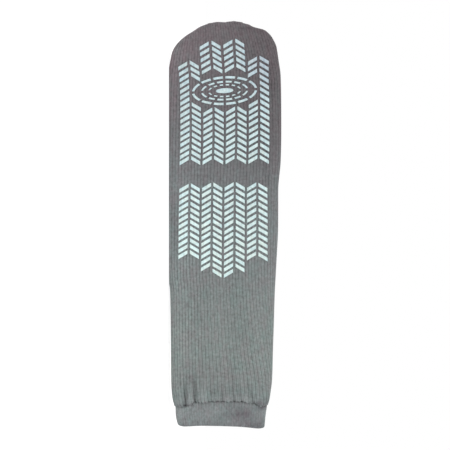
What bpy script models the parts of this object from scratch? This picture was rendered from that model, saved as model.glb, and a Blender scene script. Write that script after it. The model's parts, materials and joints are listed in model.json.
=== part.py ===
"""Slipper sock: a heelless knitted tube with a gathered cuff, a closed toe and a printed grip sole.

The sock is empty, slack and straight, and it lies on its side. Metres, +Z up.
X runs from the toe (-X) to the mouth (+X), the sole faces -Y and the instep faces +Y.
One folded side of the foot lies on the floor at Z = 0, so Z is the place across the sock.
"""

import math
from collections import namedtuple

import bmesh
import bpy
import numpy as np
from mathutils import Vector

# Lengths along the sock. Their sum, with the rim's tilt, is the length from toe to mouth.
FOOT_LENGTH = 0.2325  # toe tip to the last chevron under the heel
LEG_LENGTH = 0.1163  # from there to the seam of the cuff
CUFF_HEIGHT = 0.0202

# Widths across the sock, and depths from sole to instep, of the three stretches.
FOOT_WIDTH = 0.1015
LEG_WIDTH = 0.0920
CUFF_WIDTH = 0.0823
FOOT_DEPTH = 0.0390
LEG_DEPTH = 0.0320
CUFF_DEPTH = 0.0230

# Fabric. The cuff is turned over, so its wall is double.
KNIT_WALL = 0.0022
TOE_WALL = 0.0025  # solid knit at the toe's tip, at least, ahead of the cavity
CUFF_WALL = 0.0034
PIECE_GAP = 0.0003  # air kept between touching pieces

# The gathered seam of the cuff, and the mouth's rim.
SEAM_STEP = 0.0008  # how far the leg stands proud of the cuff
SEAM_ARCH = 0.0048  # how far the seam is drawn towards the toe at mid width
RIM_ARCH = 0.0024  # the same at the rim
RIM_TILT = 0.0010  # how far the rim's upper end runs out, and its lower end falls short
ARCH_POWER = 3  # how flat the arches are at mid width: 2 is a parabola
ARCH_ONSET = 3  # how late the leg's arch grows towards the seam: 1 is evenly

# Closing seam of the toe, on the instep side.
TOE_SEAM_WIDTH = 0.0026
TOE_SEAM_HEIGHT = 0.0012
TOE_SEAM_INSET = 0.0095  # toe tip to the seam at its foremost point
TOE_SEAM_SWEEP = 0.0125  # how much further back its two ends lie
TOE_SEAM_POWER = 2.5  # how flat its course is at mid width
TOE_SEAM_REACH = 0.93  # its half span, as a share of the sock's half width there

# Grip print: chevron bars on a lattice of columns and rows, and a target of dashed rings.
PRINT_THICKNESS = 0.0008
WEB_THICKNESS = 0.0003  # thin ink bridge that joins neighbouring bars of a row
TREAD_SIDE_MARGIN = 0.0103  # bare knit beside the print, at the ball
TREAD_TOE_MARGIN = 0.0170  # bare knit ahead of the print
BARE_BAND = 0.0186  # bare knit under the arch, beyond one row gap
COLUMN_GAP = 0.0017
ROW_GAP = 0.0019
BAR_RISE = 0.0051  # how far a bar climbs towards the toe over its width
ROW_TILT = 0.0011  # how far a row climbs towards the toe over its full width
PRINT_SKEW = 0.023  # share by which the rows spread at the upper side, and close up at the lower
FOREFOOT_SHRINK = 0.984  # pitch of the forefoot's rows as a share of the heel's
FOREFOOT_BOW = 0.0002  # how far the ends of a row lie behind its middle
HEEL_BOW = 0.0010
COLUMNS = 8
FOREFOOT_ROWS = 20
HEEL_ROWS = 15

# Mesh fineness.
POINTS_AROUND = 36
RING_SPACING = 0.0165
RIM_STEPS = 4
TOE_SEAM_STEPS = 18
OVAL_STEPS = 16
SHARP_ANGLE = math.radians(40)
FOLD_EXPONENT_SOLE = 3.2  # how square the sole's edges are: 2 is an ellipse
FOLD_EXPONENT_INSTEP = 2.6

KNIT_GREY = (0.205, 0.212, 0.214, 1.0)
CUFF_GREY = (0.215, 0.225, 0.225, 1.0)
SEAM_GREY = (0.150, 0.150, 0.155, 1.0)
PRINT_AQUA = (0.560, 0.720, 0.735, 1.0)

UPPER_LENGTH = FOOT_LENGTH + LEG_LENGTH

# One cross-section. along is from the toe tip, low and high are the two folded sides across
# the sock, and sole and instep are the depths on either side of the line through the folds.
Section = namedtuple("Section", "along low high sole instep")

# Shares of FOOT_LENGTH, FOOT_WIDTH (low, high) and FOOT_DEPTH (sole, instep). A low below 0
# is pressed flat by the floor.
FOOT_SECTIONS = (
    Section(0.0000, 0.513, 0.642, 0.042, 0.042),
    Section(0.0040, 0.388, 0.656, 0.068, 0.072),
    Section(0.0116, 0.334, 0.709, 0.102, 0.120),
    Section(0.0232, 0.267, 0.763, 0.140, 0.170),
    Section(0.0310, 0.241, 0.837, 0.160, 0.200),
    Section(0.0413, 0.205, 0.876, 0.182, 0.232),
    Section(0.0546, 0.156, 0.906, 0.205, 0.268),
    Section(0.0740, 0.101, 0.934, 0.232, 0.310),
    Section(0.0937, 0.061, 0.955, 0.256, 0.346),
    Section(0.1130, 0.035, 0.964, 0.277, 0.380),
    Section(0.1520, 0.013, 0.977, 0.304, 0.428),
    Section(0.2107, -0.006, 0.995, 0.332, 0.474),
    Section(0.3080, -0.012, 1.000, 0.360, 0.518),
    Section(0.4250, -0.018, 1.001, 0.376, 0.548),
    Section(0.5417, -0.022, 0.996, 0.386, 0.572),
    Section(0.6580, -0.022, 0.974, 0.400, 0.592),
    Section(0.7950, -0.024, 0.973, 0.418, 0.582),
    Section(0.9110, -0.020, 0.961, 0.430, 0.552),
)
# Shares of LEG_LENGTH, LEG_WIDTH and LEG_DEPTH.
LEG_SECTIONS = (
    Section(0.000, -0.004, 1.048, 0.530, 0.632),
    Section(0.100, 0.011, 1.041, 0.525, 0.600),
    Section(0.333, 0.017, 1.032, 0.508, 0.545),
    Section(0.564, 0.020, 1.022, 0.488, 0.496),
    Section(0.801, 0.023, 1.013, 0.452, 0.450),
    Section(0.878, 0.027, 1.001, 0.432, 0.424),
    Section(0.956, 0.040, 0.986, 0.400, 0.390),
)
# Shares of CUFF_HEIGHT, CUFF_WIDTH and CUFF_DEPTH.
CUFF_SECTIONS = (
    Section(0.00, 0.072, 1.076, 0.510, 0.490),
    Section(0.20, 0.073, 1.072, 0.512, 0.488),
    Section(0.60, 0.081, 1.060, 0.508, 0.492),
    Section(1.00, 0.100, 1.048, 0.494, 0.482),
)

# Half round of the toe's seam, in shares of its width and height.
Ridge = namedtuple("Ridge", "offset height")
TOE_SEAM_PROFILE = (Ridge(-0.5, 0.0), Ridge(-0.3, 0.8), Ridge(0.0, 1.0), Ridge(0.3, 0.8), Ridge(0.5, 0.0))

# The line that the print is centred on, and how widely its columns spread beside it.
# Shares of FOOT_LENGTH and FOOT_WIDTH.
PrintLine = namedtuple("PrintLine", "along middle spread")
PRINT_LINE = (
    PrintLine(0.060, 0.467, 1.050),
    PrintLine(0.142, 0.480, 1.035),
    PrintLine(0.215, 0.491, 1.000),
    PrintLine(0.300, 0.497, 0.998),
    PrintLine(0.450, 0.499, 0.997),
    PrintLine(0.545, 0.493, 1.000),
    PrintLine(0.645, 0.486, 0.985),
    PrintLine(0.790, 0.483, 0.997),
    PrintLine(1.000, 0.479, 1.000),
)

# Where the bars stand: rows counted from the bare band, and columns from the lower side up.
# A run fills its columns on every row from its first to its last.
PrintRun = namedtuple("PrintRun", "first_row last_row first_column last_column place")
FOREFOOT_RUNS = (
    PrintRun(0, 8, 0, 7, "full"),
    PrintRun(9, 9, 0, 1, "lower"),
    PrintRun(9, 9, 6, 7, "upper"),
    PrintRun(10, 13, 0, 0, "lower"),
    PrintRun(10, 13, 7, 7, "upper"),
    PrintRun(14, 14, 0, 1, "lower"),
    PrintRun(14, 14, 6, 7, "upper"),
    PrintRun(15, 16, 0, 7, "full"),
    PrintRun(17, 19, 2, 5, "middle"),
)
HEEL_RUNS = (
    PrintRun(0, 11, 0, 7, "full"),
    PrintRun(12, 13, 2, 5, "middle"),
    PrintRun(14, 14, 3, 4, "middle"),
)

# The target under the ball: half axes in columns and in rows, and the width of its dashes.
Ring = namedtuple("Ring", "columns rows line")
TARGET_ROW = 11.4
TARGET_RINGS = (
    Ring(2.76, 2.18, 0.0019),
    Ring(1.99, 1.47, 0.0014),
    Ring(1.40, 0.96, 0.0011),
)
TARGET_OVAL = Ring(0.82, 0.43, 0.0)
RING_DASHES = 12
DASH_SHARE = 0.82  # share of a ring's pitch that a dash fills
DASH_SEGMENTS = 3
ARC_SAMPLES = 360

# The lattice of the print, worked out from the sizes above.
COLUMN_PITCH = (FOOT_WIDTH - 2 * TREAD_SIDE_MARGIN + COLUMN_GAP) / COLUMNS
BAR_WIDTH = COLUMN_PITCH - COLUMN_GAP
MIDDLE_COLUMN = (COLUMNS - 1) / 2
ROWS_LENGTH = FOOT_LENGTH - TREAD_TOE_MARGIN - BARE_BAND - BAR_RISE + ROW_GAP
HEEL_PITCH = ROWS_LENGTH / (FOREFOOT_SHRINK * FOREFOOT_ROWS + HEEL_ROWS)
FOREFOOT_PITCH = HEEL_PITCH * FOREFOOT_SHRINK
BAR_HEIGHT = FOREFOOT_PITCH - ROW_GAP

# One block of rows. start is the middle of its first row, and heading is -1 towards the toe.
Block = namedtuple("Block", "name start heading pitch bow")
FOREFOOT_START = TREAD_TOE_MARGIN + (BAR_RISE + BAR_HEIGHT) / 2 + (FOREFOOT_ROWS - 1) * FOREFOOT_PITCH
FOREFOOT = Block("forefoot", FOREFOOT_START, -1, FOREFOOT_PITCH, FOREFOOT_BOW)
HEEL = Block("heel", FOREFOOT_START + BARE_BAND + HEEL_PITCH, 1, HEEL_PITCH, HEEL_BOW)


def scaled(rows, start, length, width, depth):
    """Sections turned from shares into metres."""
    return [
        Section(start + r.along * length, r.low * width, r.high * width, r.sole * depth, r.instep * depth)
        for r in rows
    ]


def smooth_slopes(xs, ys):
    """Slopes of a curve through the points that never overshoots them."""
    steps = [b - a for a, b in zip(xs, xs[1:])]
    rates = [(b - a) / h for a, b, h in zip(ys, ys[1:], steps)]
    slopes = [rates[0]]
    for h0, h1, r0, r1 in zip(steps, steps[1:], rates, rates[1:]):
        middle = (r0 * h1 + r1 * h0) / (h0 + h1)
        limit = 2 * min(abs(r0), abs(r1))
        slopes.append(math.copysign(min(abs(middle), limit), middle) if r0 * r1 > 0 else 0.0)
    return slopes + [rates[-1]]


class Profile:
    """A table whose first column is along, read smoothly between its rows."""

    def __init__(self, rows):
        self.rows = rows
        self.along = [r.along for r in rows]
        self.slopes = [smooth_slopes(self.along, column) for column in list(zip(*rows))[1:]]

    def at(self, along):
        place = min(max(along, self.along[0]), self.along[-1])
        i = max(k for k in range(len(self.rows) - 1) if self.along[k] <= place)
        h = self.along[i + 1] - self.along[i]
        t = (place - self.along[i]) / h
        values = []
        for slopes, a, b in zip(self.slopes, self.rows[i][1:], self.rows[i + 1][1:]):
            values.append(
                a * (1 + 2 * t) * (1 - t) ** 2
                + b * t * t * (3 - 2 * t)
                + h * (slopes[i] * t * (1 - t) ** 2 + slopes[i + 1] * t * t * (t - 1))
            )
        return type(self.rows[0])(place, *values)

    def stations(self, end):
        """The table's own places up to end, with more between rows that lie far apart."""
        found = []
        for a, b in zip(self.along, self.along[1:]):
            count = math.ceil((b - a) / RING_SPACING)
            found += [a + (b - a) * k / count for k in range(count)]
        return [a for a in found if a < end] + [end]


CUFF = Profile(scaled(CUFF_SECTIONS, UPPER_LENGTH, CUFF_HEIGHT, CUFF_WIDTH, CUFF_DEPTH))
SEAM = CUFF.rows[0]
UPPER = Profile(
    scaled(FOOT_SECTIONS, 0.0, FOOT_LENGTH, FOOT_WIDTH, FOOT_DEPTH)
    + scaled(LEG_SECTIONS, FOOT_LENGTH, LEG_LENGTH, LEG_WIDTH, LEG_DEPTH)
    + [
        Section(
            UPPER_LENGTH,
            SEAM.low - SEAM_STEP,
            SEAM.high + SEAM_STEP,
            SEAM.sole + SEAM_STEP,
            SEAM.instep + SEAM_STEP,
        )
    ]
)
PRINT = Profile([PrintLine(r.along * FOOT_LENGTH, r.middle * FOOT_WIDTH, r.spread) for r in PRINT_LINE])


def arch(along, side):
    """How far a point is shifted along the sock by the arches of the seam and the rim.
    side is -1 at the lower fold and +1 at the upper."""
    leg_share = (along - FOOT_LENGTH) / LEG_LENGTH
    if leg_share <= 0:
        return 0.0
    if leg_share < 1:
        depth, tilt = SEAM_ARCH * leg_share**ARCH_ONSET, 0.0
    else:
        cuff_share = (along - UPPER_LENGTH) / CUFF_HEIGHT
        depth, tilt = SEAM_ARCH + (RIM_ARCH - SEAM_ARCH) * cuff_share, RIM_TILT * cuff_share
    return tilt * side - depth * (1 - abs(side) ** ARCH_POWER)


def section_ring(profile, along, inset):
    """The points of a cross-section, inset from its outer face, from the upper fold round by
    the instep and the lower fold to the sole."""
    section = profile.at(along)
    middle = (section.low + section.high) / 2
    half = (section.high - section.low) / 2 - inset
    points = []
    for k in range(POINTS_AROUND):
        angle = 2 * math.pi * k / POINTS_AROUND
        c, s = math.cos(angle), math.sin(angle)
        power = FOLD_EXPONENT_INSTEP if s >= 0 else FOLD_EXPONENT_SOLE
        depth = (section.instep if s >= 0 else section.sole) - inset
        reach = (abs(c) ** power + abs(s) ** power) ** (-1 / power)
        across = max(middle + half * reach * c, inset)
        points.append(Vector((along + arch(along, reach * c), depth * reach * s, across)))
    return points


def surface_point(along, across, side):
    """The point of the foot's outer face at a place. side is -1 on the sole and +1 on the instep."""
    section = UPPER.at(along)
    power = FOLD_EXPONENT_INSTEP if side > 0 else FOLD_EXPONENT_SOLE
    depth = section.instep if side > 0 else section.sole
    share = abs(2 * across - section.low - section.high) / (section.high - section.low)
    return Vector((along, side * depth * max(0.0, 1 - share**power) ** (1 / power), across))


def lifted(along, across, lift, side=-1):
    """As surface_point, but lift outside the face."""
    reach = PIECE_GAP
    ahead = surface_point(along + reach, across, side) - surface_point(along - reach, across, side)
    beside = surface_point(along, across + reach, side) - surface_point(along, across - reach, side)
    return surface_point(along, across, side) - side * lift * ahead.cross(beside).normalized()


def print_place(column, row, block):
    """Place (along, across) of a lattice point. column 0 is the middle of the lowest column."""
    share = (column - MIDDLE_COLUMN) / MIDDLE_COLUMN
    rows = block.heading * row * block.pitch * (1 + PRINT_SKEW * share)
    along = block.start + rows - ROW_TILT / 2 * share + block.bow * share * share
    line = PRINT.at(along)
    return along, line.middle + (column - MIDDLE_COLUMN) * COLUMN_PITCH * line.spread


def plain_material(name, colour, roughness):
    material = bpy.data.materials.new(name)
    material.use_nodes = True
    shader = material.node_tree.nodes["Principled BSDF"]
    shader.inputs["Base Color"].default_value = colour
    shader.inputs["Roughness"].default_value = roughness
    shader.inputs["Metallic"].default_value = 0.0
    material.diffuse_color = colour
    return material


def finished(name, builder, material):
    """The builder's faces as a closed, smooth-shaded object."""
    bmesh.ops.recalc_face_normals(builder, faces=builder.faces)
    mesh = bpy.data.meshes.new(name)
    builder.to_mesh(mesh)
    builder.free()
    mesh.materials.append(material)
    mesh.shade_smooth()
    mesh.set_sharp_from_angle(angle=SHARP_ANGLE)
    made = bpy.data.objects.new(name, mesh)
    bpy.context.scene.collection.objects.link(made)
    return made


def add_ring(builder, points):
    return [builder.verts.new(p) for p in points]


def bridge(builder, first, second):
    """Faces between two rings of as many vertices."""
    for k, vertex in enumerate(first):
        n = (k + 1) % len(first)
        builder.faces.new((vertex, first[n], second[n], second[k]))


def skin(builder, profile, stations, inset):
    """Bridged rings along a profile."""
    rings = [add_ring(builder, section_ring(profile, along, inset)) for along in stations]
    for first, second in zip(rings, rings[1:]):
        bridge(builder, first, second)
    return rings


def make_upper(material):
    """The knitted tube: foot and leg in one wall, closed at the toe and open at the cuff."""
    builder = bmesh.new()
    end = UPPER_LENGTH - PIECE_GAP
    outer = skin(builder, UPPER, UPPER.stations(end), 0.0)
    cavity = [along for along in UPPER.along[:-1] if along >= TOE_WALL] + [end]
    inner = skin(builder, UPPER, cavity, KNIT_WALL)
    builder.faces.new(outer[0])
    builder.faces.new(inner[0])
    bridge(builder, outer[-1], inner[-1])
    return finished("upper", builder, material)


def make_cuff(material):
    """The turned welt: a double wall round the mouth, folded over in a half circle at the rim."""
    builder = bmesh.new()
    radius = CUFF_WALL / 2
    fold_start = UPPER_LENGTH + CUFF_HEIGHT - radius
    stations = CUFF.stations(fold_start)
    outer = skin(builder, CUFF, stations, 0.0)
    inner = skin(builder, CUFF, stations, CUFF_WALL)
    fold = [outer[-1]]
    for k in range(1, RIM_STEPS):
        turn = math.pi * k / RIM_STEPS
        points = section_ring(CUFF, fold_start + radius * math.sin(turn), radius * (1 - math.cos(turn)))
        fold.append(add_ring(builder, points))
    fold.append(inner[-1])
    for first, second in zip(fold, fold[1:]):
        bridge(builder, first, second)
    bridge(builder, outer[0], inner[0])
    return finished("cuff", builder, material)


def make_toe_seam(material):
    """The seam that closes the toe: a low rounded ridge across the instep side."""
    builder = bmesh.new()
    cuts = []
    for k in range(TOE_SEAM_STEPS + 1):
        share = 2 * k / TOE_SEAM_STEPS - 1
        along = TOE_SEAM_INSET + TOE_SEAM_SWEEP * abs(share) ** TOE_SEAM_POWER
        section = UPPER.at(along)
        half = (section.high - section.low) / 2
        across = (section.low + section.high) / 2 + share * TOE_SEAM_REACH * half
        cut = []
        for ridge in TOE_SEAM_PROFILE:
            place = along + ridge.offset * TOE_SEAM_WIDTH
            cut.append(lifted(place, across, PIECE_GAP + ridge.height * TOE_SEAM_HEIGHT, 1))
        cuts.append(add_ring(builder, cut))
    for first, second in zip(cuts, cuts[1:]):
        bridge(builder, first, second)
    builder.faces.new(cuts[0])
    builder.faces.new(cuts[-1])
    return finished("toe_seam", builder, material)


def printed_ribbon(name, dashes, closed, material):
    """One body of raised dashes joined by thin webs. Each dash is a list of cuts, and each
    cut a pair of places (along, across), one for each long edge."""
    builder = bmesh.new()
    bottom, web, top = PIECE_GAP, PIECE_GAP + WEB_THICKNESS, PIECE_GAP + PRINT_THICKNESS
    solids = []
    for d, dash in enumerate(dashes):
        solid = []
        for k, cut in enumerate(dash):
            webbed_start = k == 0 and (closed or d > 0)
            webbed_end = k == len(dash) - 1 and (closed or d < len(dashes) - 1)
            heights = (bottom, web, top) if webbed_start or webbed_end else (bottom, top)
            solid.append([[builder.verts.new(lifted(*place, h)) for h in heights] for place in cut])
        solids.append(solid)
    for solid in solids:
        for (a0, a1), (b0, b1) in zip(solid, solid[1:]):
            builder.faces.new((a0[-1], b0[-1], b1[-1], a1[-1]))
            builder.faces.new((a0[0], a1[0], b1[0], b0[0]))
            builder.faces.new(a0 + b0[::-1])
            builder.faces.new(a1 + b1[::-1])
        for first, second in (solid[0], solid[-1]):
            builder.faces.new(first[-2:] + second[-2:][::-1])
    following = solids[1:] + solids[:1] if closed else solids[1:]
    for before, after in zip(solids, following):
        (a0, a1), (b0, b1) = before[-1], after[0]
        builder.faces.new((a0[1], b0[1], b1[1], a1[1]))
        builder.faces.new((a0[0], a1[0], b1[0], b0[0]))
        builder.faces.new((a0[0], b0[0], b0[1], a0[1]))
        builder.faces.new((a1[0], b1[0], b1[1], a1[1]))
    return finished(name, builder, material)


def bar_cuts(column, row, block):
    """The cuts of one chevron bar, from its lower end to its upper end. Even columns climb
    towards the toe as they go up across the sock, and odd columns fall."""
    along, across = print_place(column, row, block)
    climb = 1 if column % 2 == 0 else -1
    shares = (-0.5, 0.0, 0.5) if column in (0, COLUMNS - 1) else (-0.5, 0.5)
    cuts = []
    for share in shares:
        place = along - climb * share * BAR_RISE
        beside = across + share * BAR_WIDTH
        cuts.append(((place - BAR_HEIGHT / 2, beside), (place + BAR_HEIGHT / 2, beside)))
    return cuts


def make_rows(runs, block, material):
    """Every row of chevrons, one body for each unbroken run of bars."""
    made = []
    for run in runs:
        for row in range(run.first_row, run.last_row + 1):
            columns = range(run.first_column, run.last_column + 1)
            dashes = [bar_cuts(column, row, block) for column in columns]
            name = f"tread_{block.name}_row_{row:02d}_{run.place}"
            made.append(printed_ribbon(name, dashes, False, material))
    return made


def ring_place(ring, angle, grow):
    """A place on a ring of the target, grow outside its centreline."""
    column = MIDDLE_COLUMN + (ring.columns + grow / COLUMN_PITCH) * math.cos(angle)
    row = TARGET_ROW + (ring.rows + grow / FOREFOOT_PITCH) * math.sin(angle)
    return print_place(column, row, FOREFOOT)


def even_angle(ring, share):
    """The angle at which a share of the ring's whole length has been passed."""
    angles = np.linspace(0, 2 * math.pi, ARC_SAMPLES + 1)
    across, along = ring.columns * COLUMN_PITCH, ring.rows * FOREFOOT_PITCH
    steps = np.hypot(across * np.sin(angles), along * np.cos(angles))
    passed = np.concatenate(([0.0], np.cumsum(steps[:-1] + steps[1:])))
    return float(np.interp(share * passed[-1], passed, angles))


def make_target(material):
    """The target under the ball: dashed rings round a solid oval."""
    made = []
    for number, ring in enumerate(TARGET_RINGS, 1):
        dashes = []
        for dash in range(RING_DASHES):
            cuts = []
            for k in range(DASH_SEGMENTS + 1):
                place = dash + 0.5 + DASH_SHARE * (k / DASH_SEGMENTS - 0.5)
                angle = even_angle(ring, place / RING_DASHES)
                cuts.append((ring_place(ring, angle, ring.line / 2), ring_place(ring, angle, -ring.line / 2)))
            dashes.append(cuts)
        made.append(printed_ribbon(f"tread_target_ring_{number}", dashes, True, material))
    builder = bmesh.new()
    layers = []
    for lift in (PIECE_GAP, PIECE_GAP + PRINT_THICKNESS):
        angles = [2 * math.pi * k / OVAL_STEPS for k in range(OVAL_STEPS)]
        layers.append(add_ring(builder, [lifted(*ring_place(TARGET_OVAL, a, 0.0), lift) for a in angles]))
    bridge(builder, *layers)
    for layer in layers:
        builder.faces.new(layer)
    made.append(finished("tread_target_oval", builder, material))
    return made


def centre_on_origin(objects):
    """Moves the meshes so that the middle of the sock's footprint is the origin."""
    points = [v.co for made in objects for v in made.data.vertices]
    middle = [(min(p[k] for p in points) + max(p[k] for p in points)) / 2 for k in (0, 1)]
    for made in objects:
        for v in made.data.vertices:
            v.co.x -= middle[0]
            v.co.y -= middle[1]


def main():
    for old in list(bpy.data.objects):
        bpy.data.objects.remove(old)
    grip = plain_material("grip_print", PRINT_AQUA, 0.5)
    made = [
        make_upper(plain_material("knit_grey", KNIT_GREY, 0.95)),
        make_cuff(plain_material("cuff_grey", CUFF_GREY, 0.95)),
        make_toe_seam(plain_material("seam_thread", SEAM_GREY, 0.9)),
    ]
    made += make_rows(FOREFOOT_RUNS, FOREFOOT, grip)
    made += make_rows(HEEL_RUNS, HEEL, grip)
    made += make_target(grip)
    centre_on_origin(made)


main()
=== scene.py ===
"""Looks of the slipper sock: ribbed knit, gathers, cuff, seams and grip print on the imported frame.

Metres, +Z up. X runs from the toe (-X) to the mouth (+X), the sole faces -Y and the instep +Y.
along is the distance from the toe tip, across the height over the floor, which is the place
across the sock, and face is the depth as a share: -1 on the sole and +1 on the instep.
"""

import json
import math
from collections import namedtuple
from functools import reduce

import bmesh
import bpy
import numpy as np
from mathutils import Matrix, Vector

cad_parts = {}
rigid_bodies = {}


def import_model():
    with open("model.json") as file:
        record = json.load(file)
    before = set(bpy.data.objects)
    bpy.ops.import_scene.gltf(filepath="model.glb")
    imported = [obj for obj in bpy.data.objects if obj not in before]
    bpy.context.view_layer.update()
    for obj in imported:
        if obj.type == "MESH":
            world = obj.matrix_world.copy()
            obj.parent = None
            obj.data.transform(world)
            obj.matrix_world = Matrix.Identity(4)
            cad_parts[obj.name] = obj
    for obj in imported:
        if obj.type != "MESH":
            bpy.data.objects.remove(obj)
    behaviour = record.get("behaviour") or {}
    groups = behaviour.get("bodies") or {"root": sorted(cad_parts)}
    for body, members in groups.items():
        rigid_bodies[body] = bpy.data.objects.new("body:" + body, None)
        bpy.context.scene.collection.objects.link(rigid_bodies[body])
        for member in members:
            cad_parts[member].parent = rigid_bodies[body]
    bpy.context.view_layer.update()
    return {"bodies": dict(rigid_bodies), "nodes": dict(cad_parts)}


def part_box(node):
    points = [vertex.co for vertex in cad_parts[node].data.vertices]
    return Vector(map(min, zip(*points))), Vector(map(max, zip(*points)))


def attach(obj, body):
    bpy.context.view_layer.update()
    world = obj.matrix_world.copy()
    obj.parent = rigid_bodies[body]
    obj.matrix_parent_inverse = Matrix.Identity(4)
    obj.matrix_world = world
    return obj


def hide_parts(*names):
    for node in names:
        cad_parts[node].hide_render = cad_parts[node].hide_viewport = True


for old in list(bpy.data.objects):
    bpy.data.objects.remove(old)
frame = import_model()
BODY = next(iter(frame["bodies"]))
TURN = 2 * math.pi
SEED = 7

# The sock's sizes, as the frame has them.
FOOT_LENGTH = 0.2325
LEG_LENGTH = 0.1163
CUFF_HEIGHT = 0.0202
UPPER_LENGTH = FOOT_LENGTH + LEG_LENGTH
FOOT_WIDTH = 0.1015
LEG_WIDTH = 0.0920
CUFF_WIDTH = 0.0823
FOOT_DEPTH = 0.0390
LEG_DEPTH = 0.0320
CUFF_DEPTH = 0.0230
KNIT_WALL = 0.0022
TOE_WALL = 0.0025
CUFF_WALL = 0.0034
SEAM_STEP = 0.0008
SEAM_ARCH = 0.0048
RIM_ARCH = 0.0024
RIM_TILT = 0.0010
ARCH_POWER = 3
ARCH_ONSET = 3
FOLD_EXPONENT_SOLE = 3.2
FOLD_EXPONENT_INSTEP = 2.6
TOE_SEAM_WIDTH = 0.0026
TOE_SEAM_HEIGHT = 0.0012
TOE_SEAM_INSET = 0.0095
TOE_SEAM_SWEEP = 0.0125
TOE_SEAM_POWER = 2.5
TOE_SEAM_REACH = 0.93

# Cross-sections, in rows of along, low, high, sole and instep, all in shares: along of the stretch's
# length, low and high of its width, sole and instep of its depth.
FOOT_SECTIONS = (
    (0.0000, 0.513, 0.642, 0.042, 0.042),
    (0.0040, 0.388, 0.656, 0.068, 0.072),
    (0.0116, 0.334, 0.709, 0.102, 0.120),
    (0.0232, 0.267, 0.763, 0.140, 0.170),
    (0.0310, 0.241, 0.837, 0.160, 0.200),
    (0.0413, 0.205, 0.876, 0.182, 0.232),
    (0.0546, 0.156, 0.906, 0.205, 0.268),
    (0.0740, 0.101, 0.934, 0.232, 0.310),
    (0.0937, 0.061, 0.955, 0.256, 0.346),
    (0.1130, 0.035, 0.964, 0.277, 0.380),
    (0.1520, 0.013, 0.977, 0.304, 0.428),
    (0.2107, -0.006, 0.995, 0.332, 0.474),
    (0.3080, -0.012, 1.000, 0.360, 0.518),
    (0.4250, -0.018, 1.001, 0.376, 0.548),
    (0.5417, -0.022, 0.996, 0.386, 0.572),
    (0.6580, -0.022, 0.974, 0.400, 0.592),
    (0.7950, -0.024, 0.973, 0.418, 0.582),
    (0.9110, -0.020, 0.961, 0.430, 0.552),
)
LEG_SECTIONS = (
    (0.000, -0.004, 1.048, 0.530, 0.632),
    (0.100, 0.011, 1.041, 0.525, 0.600),
    (0.333, 0.017, 1.032, 0.508, 0.545),
    (0.564, 0.020, 1.022, 0.488, 0.496),
    (0.801, 0.023, 1.013, 0.452, 0.450),
    (0.878, 0.027, 1.001, 0.432, 0.424),
    (0.956, 0.040, 0.986, 0.400, 0.390),
)
CUFF_SECTIONS = (
    (0.00, 0.072, 1.076, 0.510, 0.490),
    (0.20, 0.073, 1.072, 0.512, 0.488),
    (0.60, 0.081, 1.060, 0.508, 0.492),
    (1.00, 0.100, 1.048, 0.494, 0.482),
)

# The grip print, as the frame has it.
PRINT_THICKNESS = 0.0008
TREAD_SIDE_MARGIN = 0.0103
TREAD_TOE_MARGIN = 0.0170
BARE_BAND = 0.0186
COLUMN_GAP = 0.0017
ROW_GAP = 0.0019
BAR_RISE = 0.0051
ROW_TILT = 0.0011
PRINT_SKEW = 0.023
FOREFOOT_SHRINK = 0.984
FOREFOOT_BOW = 0.0002
HEEL_BOW = 0.0010
COLUMNS = 8
FOREFOOT_ROWS = 20
HEEL_ROWS = 15
# The print's middle line, in rows of along, middle and spread: shares of the foot's length, of its
# width and of the distance between the columns.
PRINT_LINE = (
    (0.060, 0.467, 1.050),
    (0.142, 0.480, 1.035),
    (0.215, 0.491, 1.000),
    (0.300, 0.497, 0.998),
    (0.450, 0.499, 0.997),
    (0.545, 0.493, 1.000),
    (0.645, 0.486, 0.985),
    (0.790, 0.483, 0.997),
    (1.000, 0.479, 1.000),
)
# Runs of bars: first row, last row, first column and last column.
FOREFOOT_RUNS = (
    (0, 8, 0, 7),
    (9, 9, 0, 1),
    (9, 9, 6, 7),
    (10, 13, 0, 0),
    (10, 13, 7, 7),
    (14, 14, 0, 1),
    (14, 14, 6, 7),
    (15, 16, 0, 7),
    (17, 19, 2, 5),
)
HEEL_RUNS = ((0, 11, 0, 7), (12, 13, 2, 5), (14, 14, 3, 4))
# Rings of the target: half their columns and rows, their line's width and a dash's share of its pitch.
Ring = namedtuple("Ring", "columns rows line dash")
TARGET_ROW = 11.4
TARGET_RINGS = (
    Ring(2.76, 2.18, 0.0022, 0.80),
    Ring(1.99, 1.47, 0.0017, 0.70),
    Ring(1.40, 0.96, 0.0013, 0.56),
)
TARGET_OVAL = Ring(0.78, 0.42, 0.0, 0.0)
RING_DASHES = 12
ARC_SAMPLES = 360
COLUMN_PITCH = (FOOT_WIDTH - 2 * TREAD_SIDE_MARGIN + COLUMN_GAP) / COLUMNS
BAR_WIDTH = COLUMN_PITCH - COLUMN_GAP
MIDDLE_COLUMN = (COLUMNS - 1) / 2
ROWS_LENGTH = FOOT_LENGTH - TREAD_TOE_MARGIN - BARE_BAND - BAR_RISE + ROW_GAP
HEEL_PITCH = ROWS_LENGTH / (FOREFOOT_SHRINK * FOREFOOT_ROWS + HEEL_ROWS)
FOREFOOT_PITCH = HEEL_PITCH * FOREFOOT_SHRINK
BAR_HEIGHT = FOREFOOT_PITCH - ROW_GAP
Block = namedtuple("Block", "start heading pitch bow")
FOREFOOT_START = TREAD_TOE_MARGIN + (BAR_RISE + BAR_HEIGHT) / 2 + (FOREFOOT_ROWS - 1) * FOREFOOT_PITCH
FOREFOOT = Block(FOREFOOT_START, -1, FOREFOOT_PITCH, FOREFOOT_BOW)
HEEL = Block(FOREFOOT_START + BARE_BAND + HEEL_PITCH, 1, HEEL_PITCH, HEEL_BOW)

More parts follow.
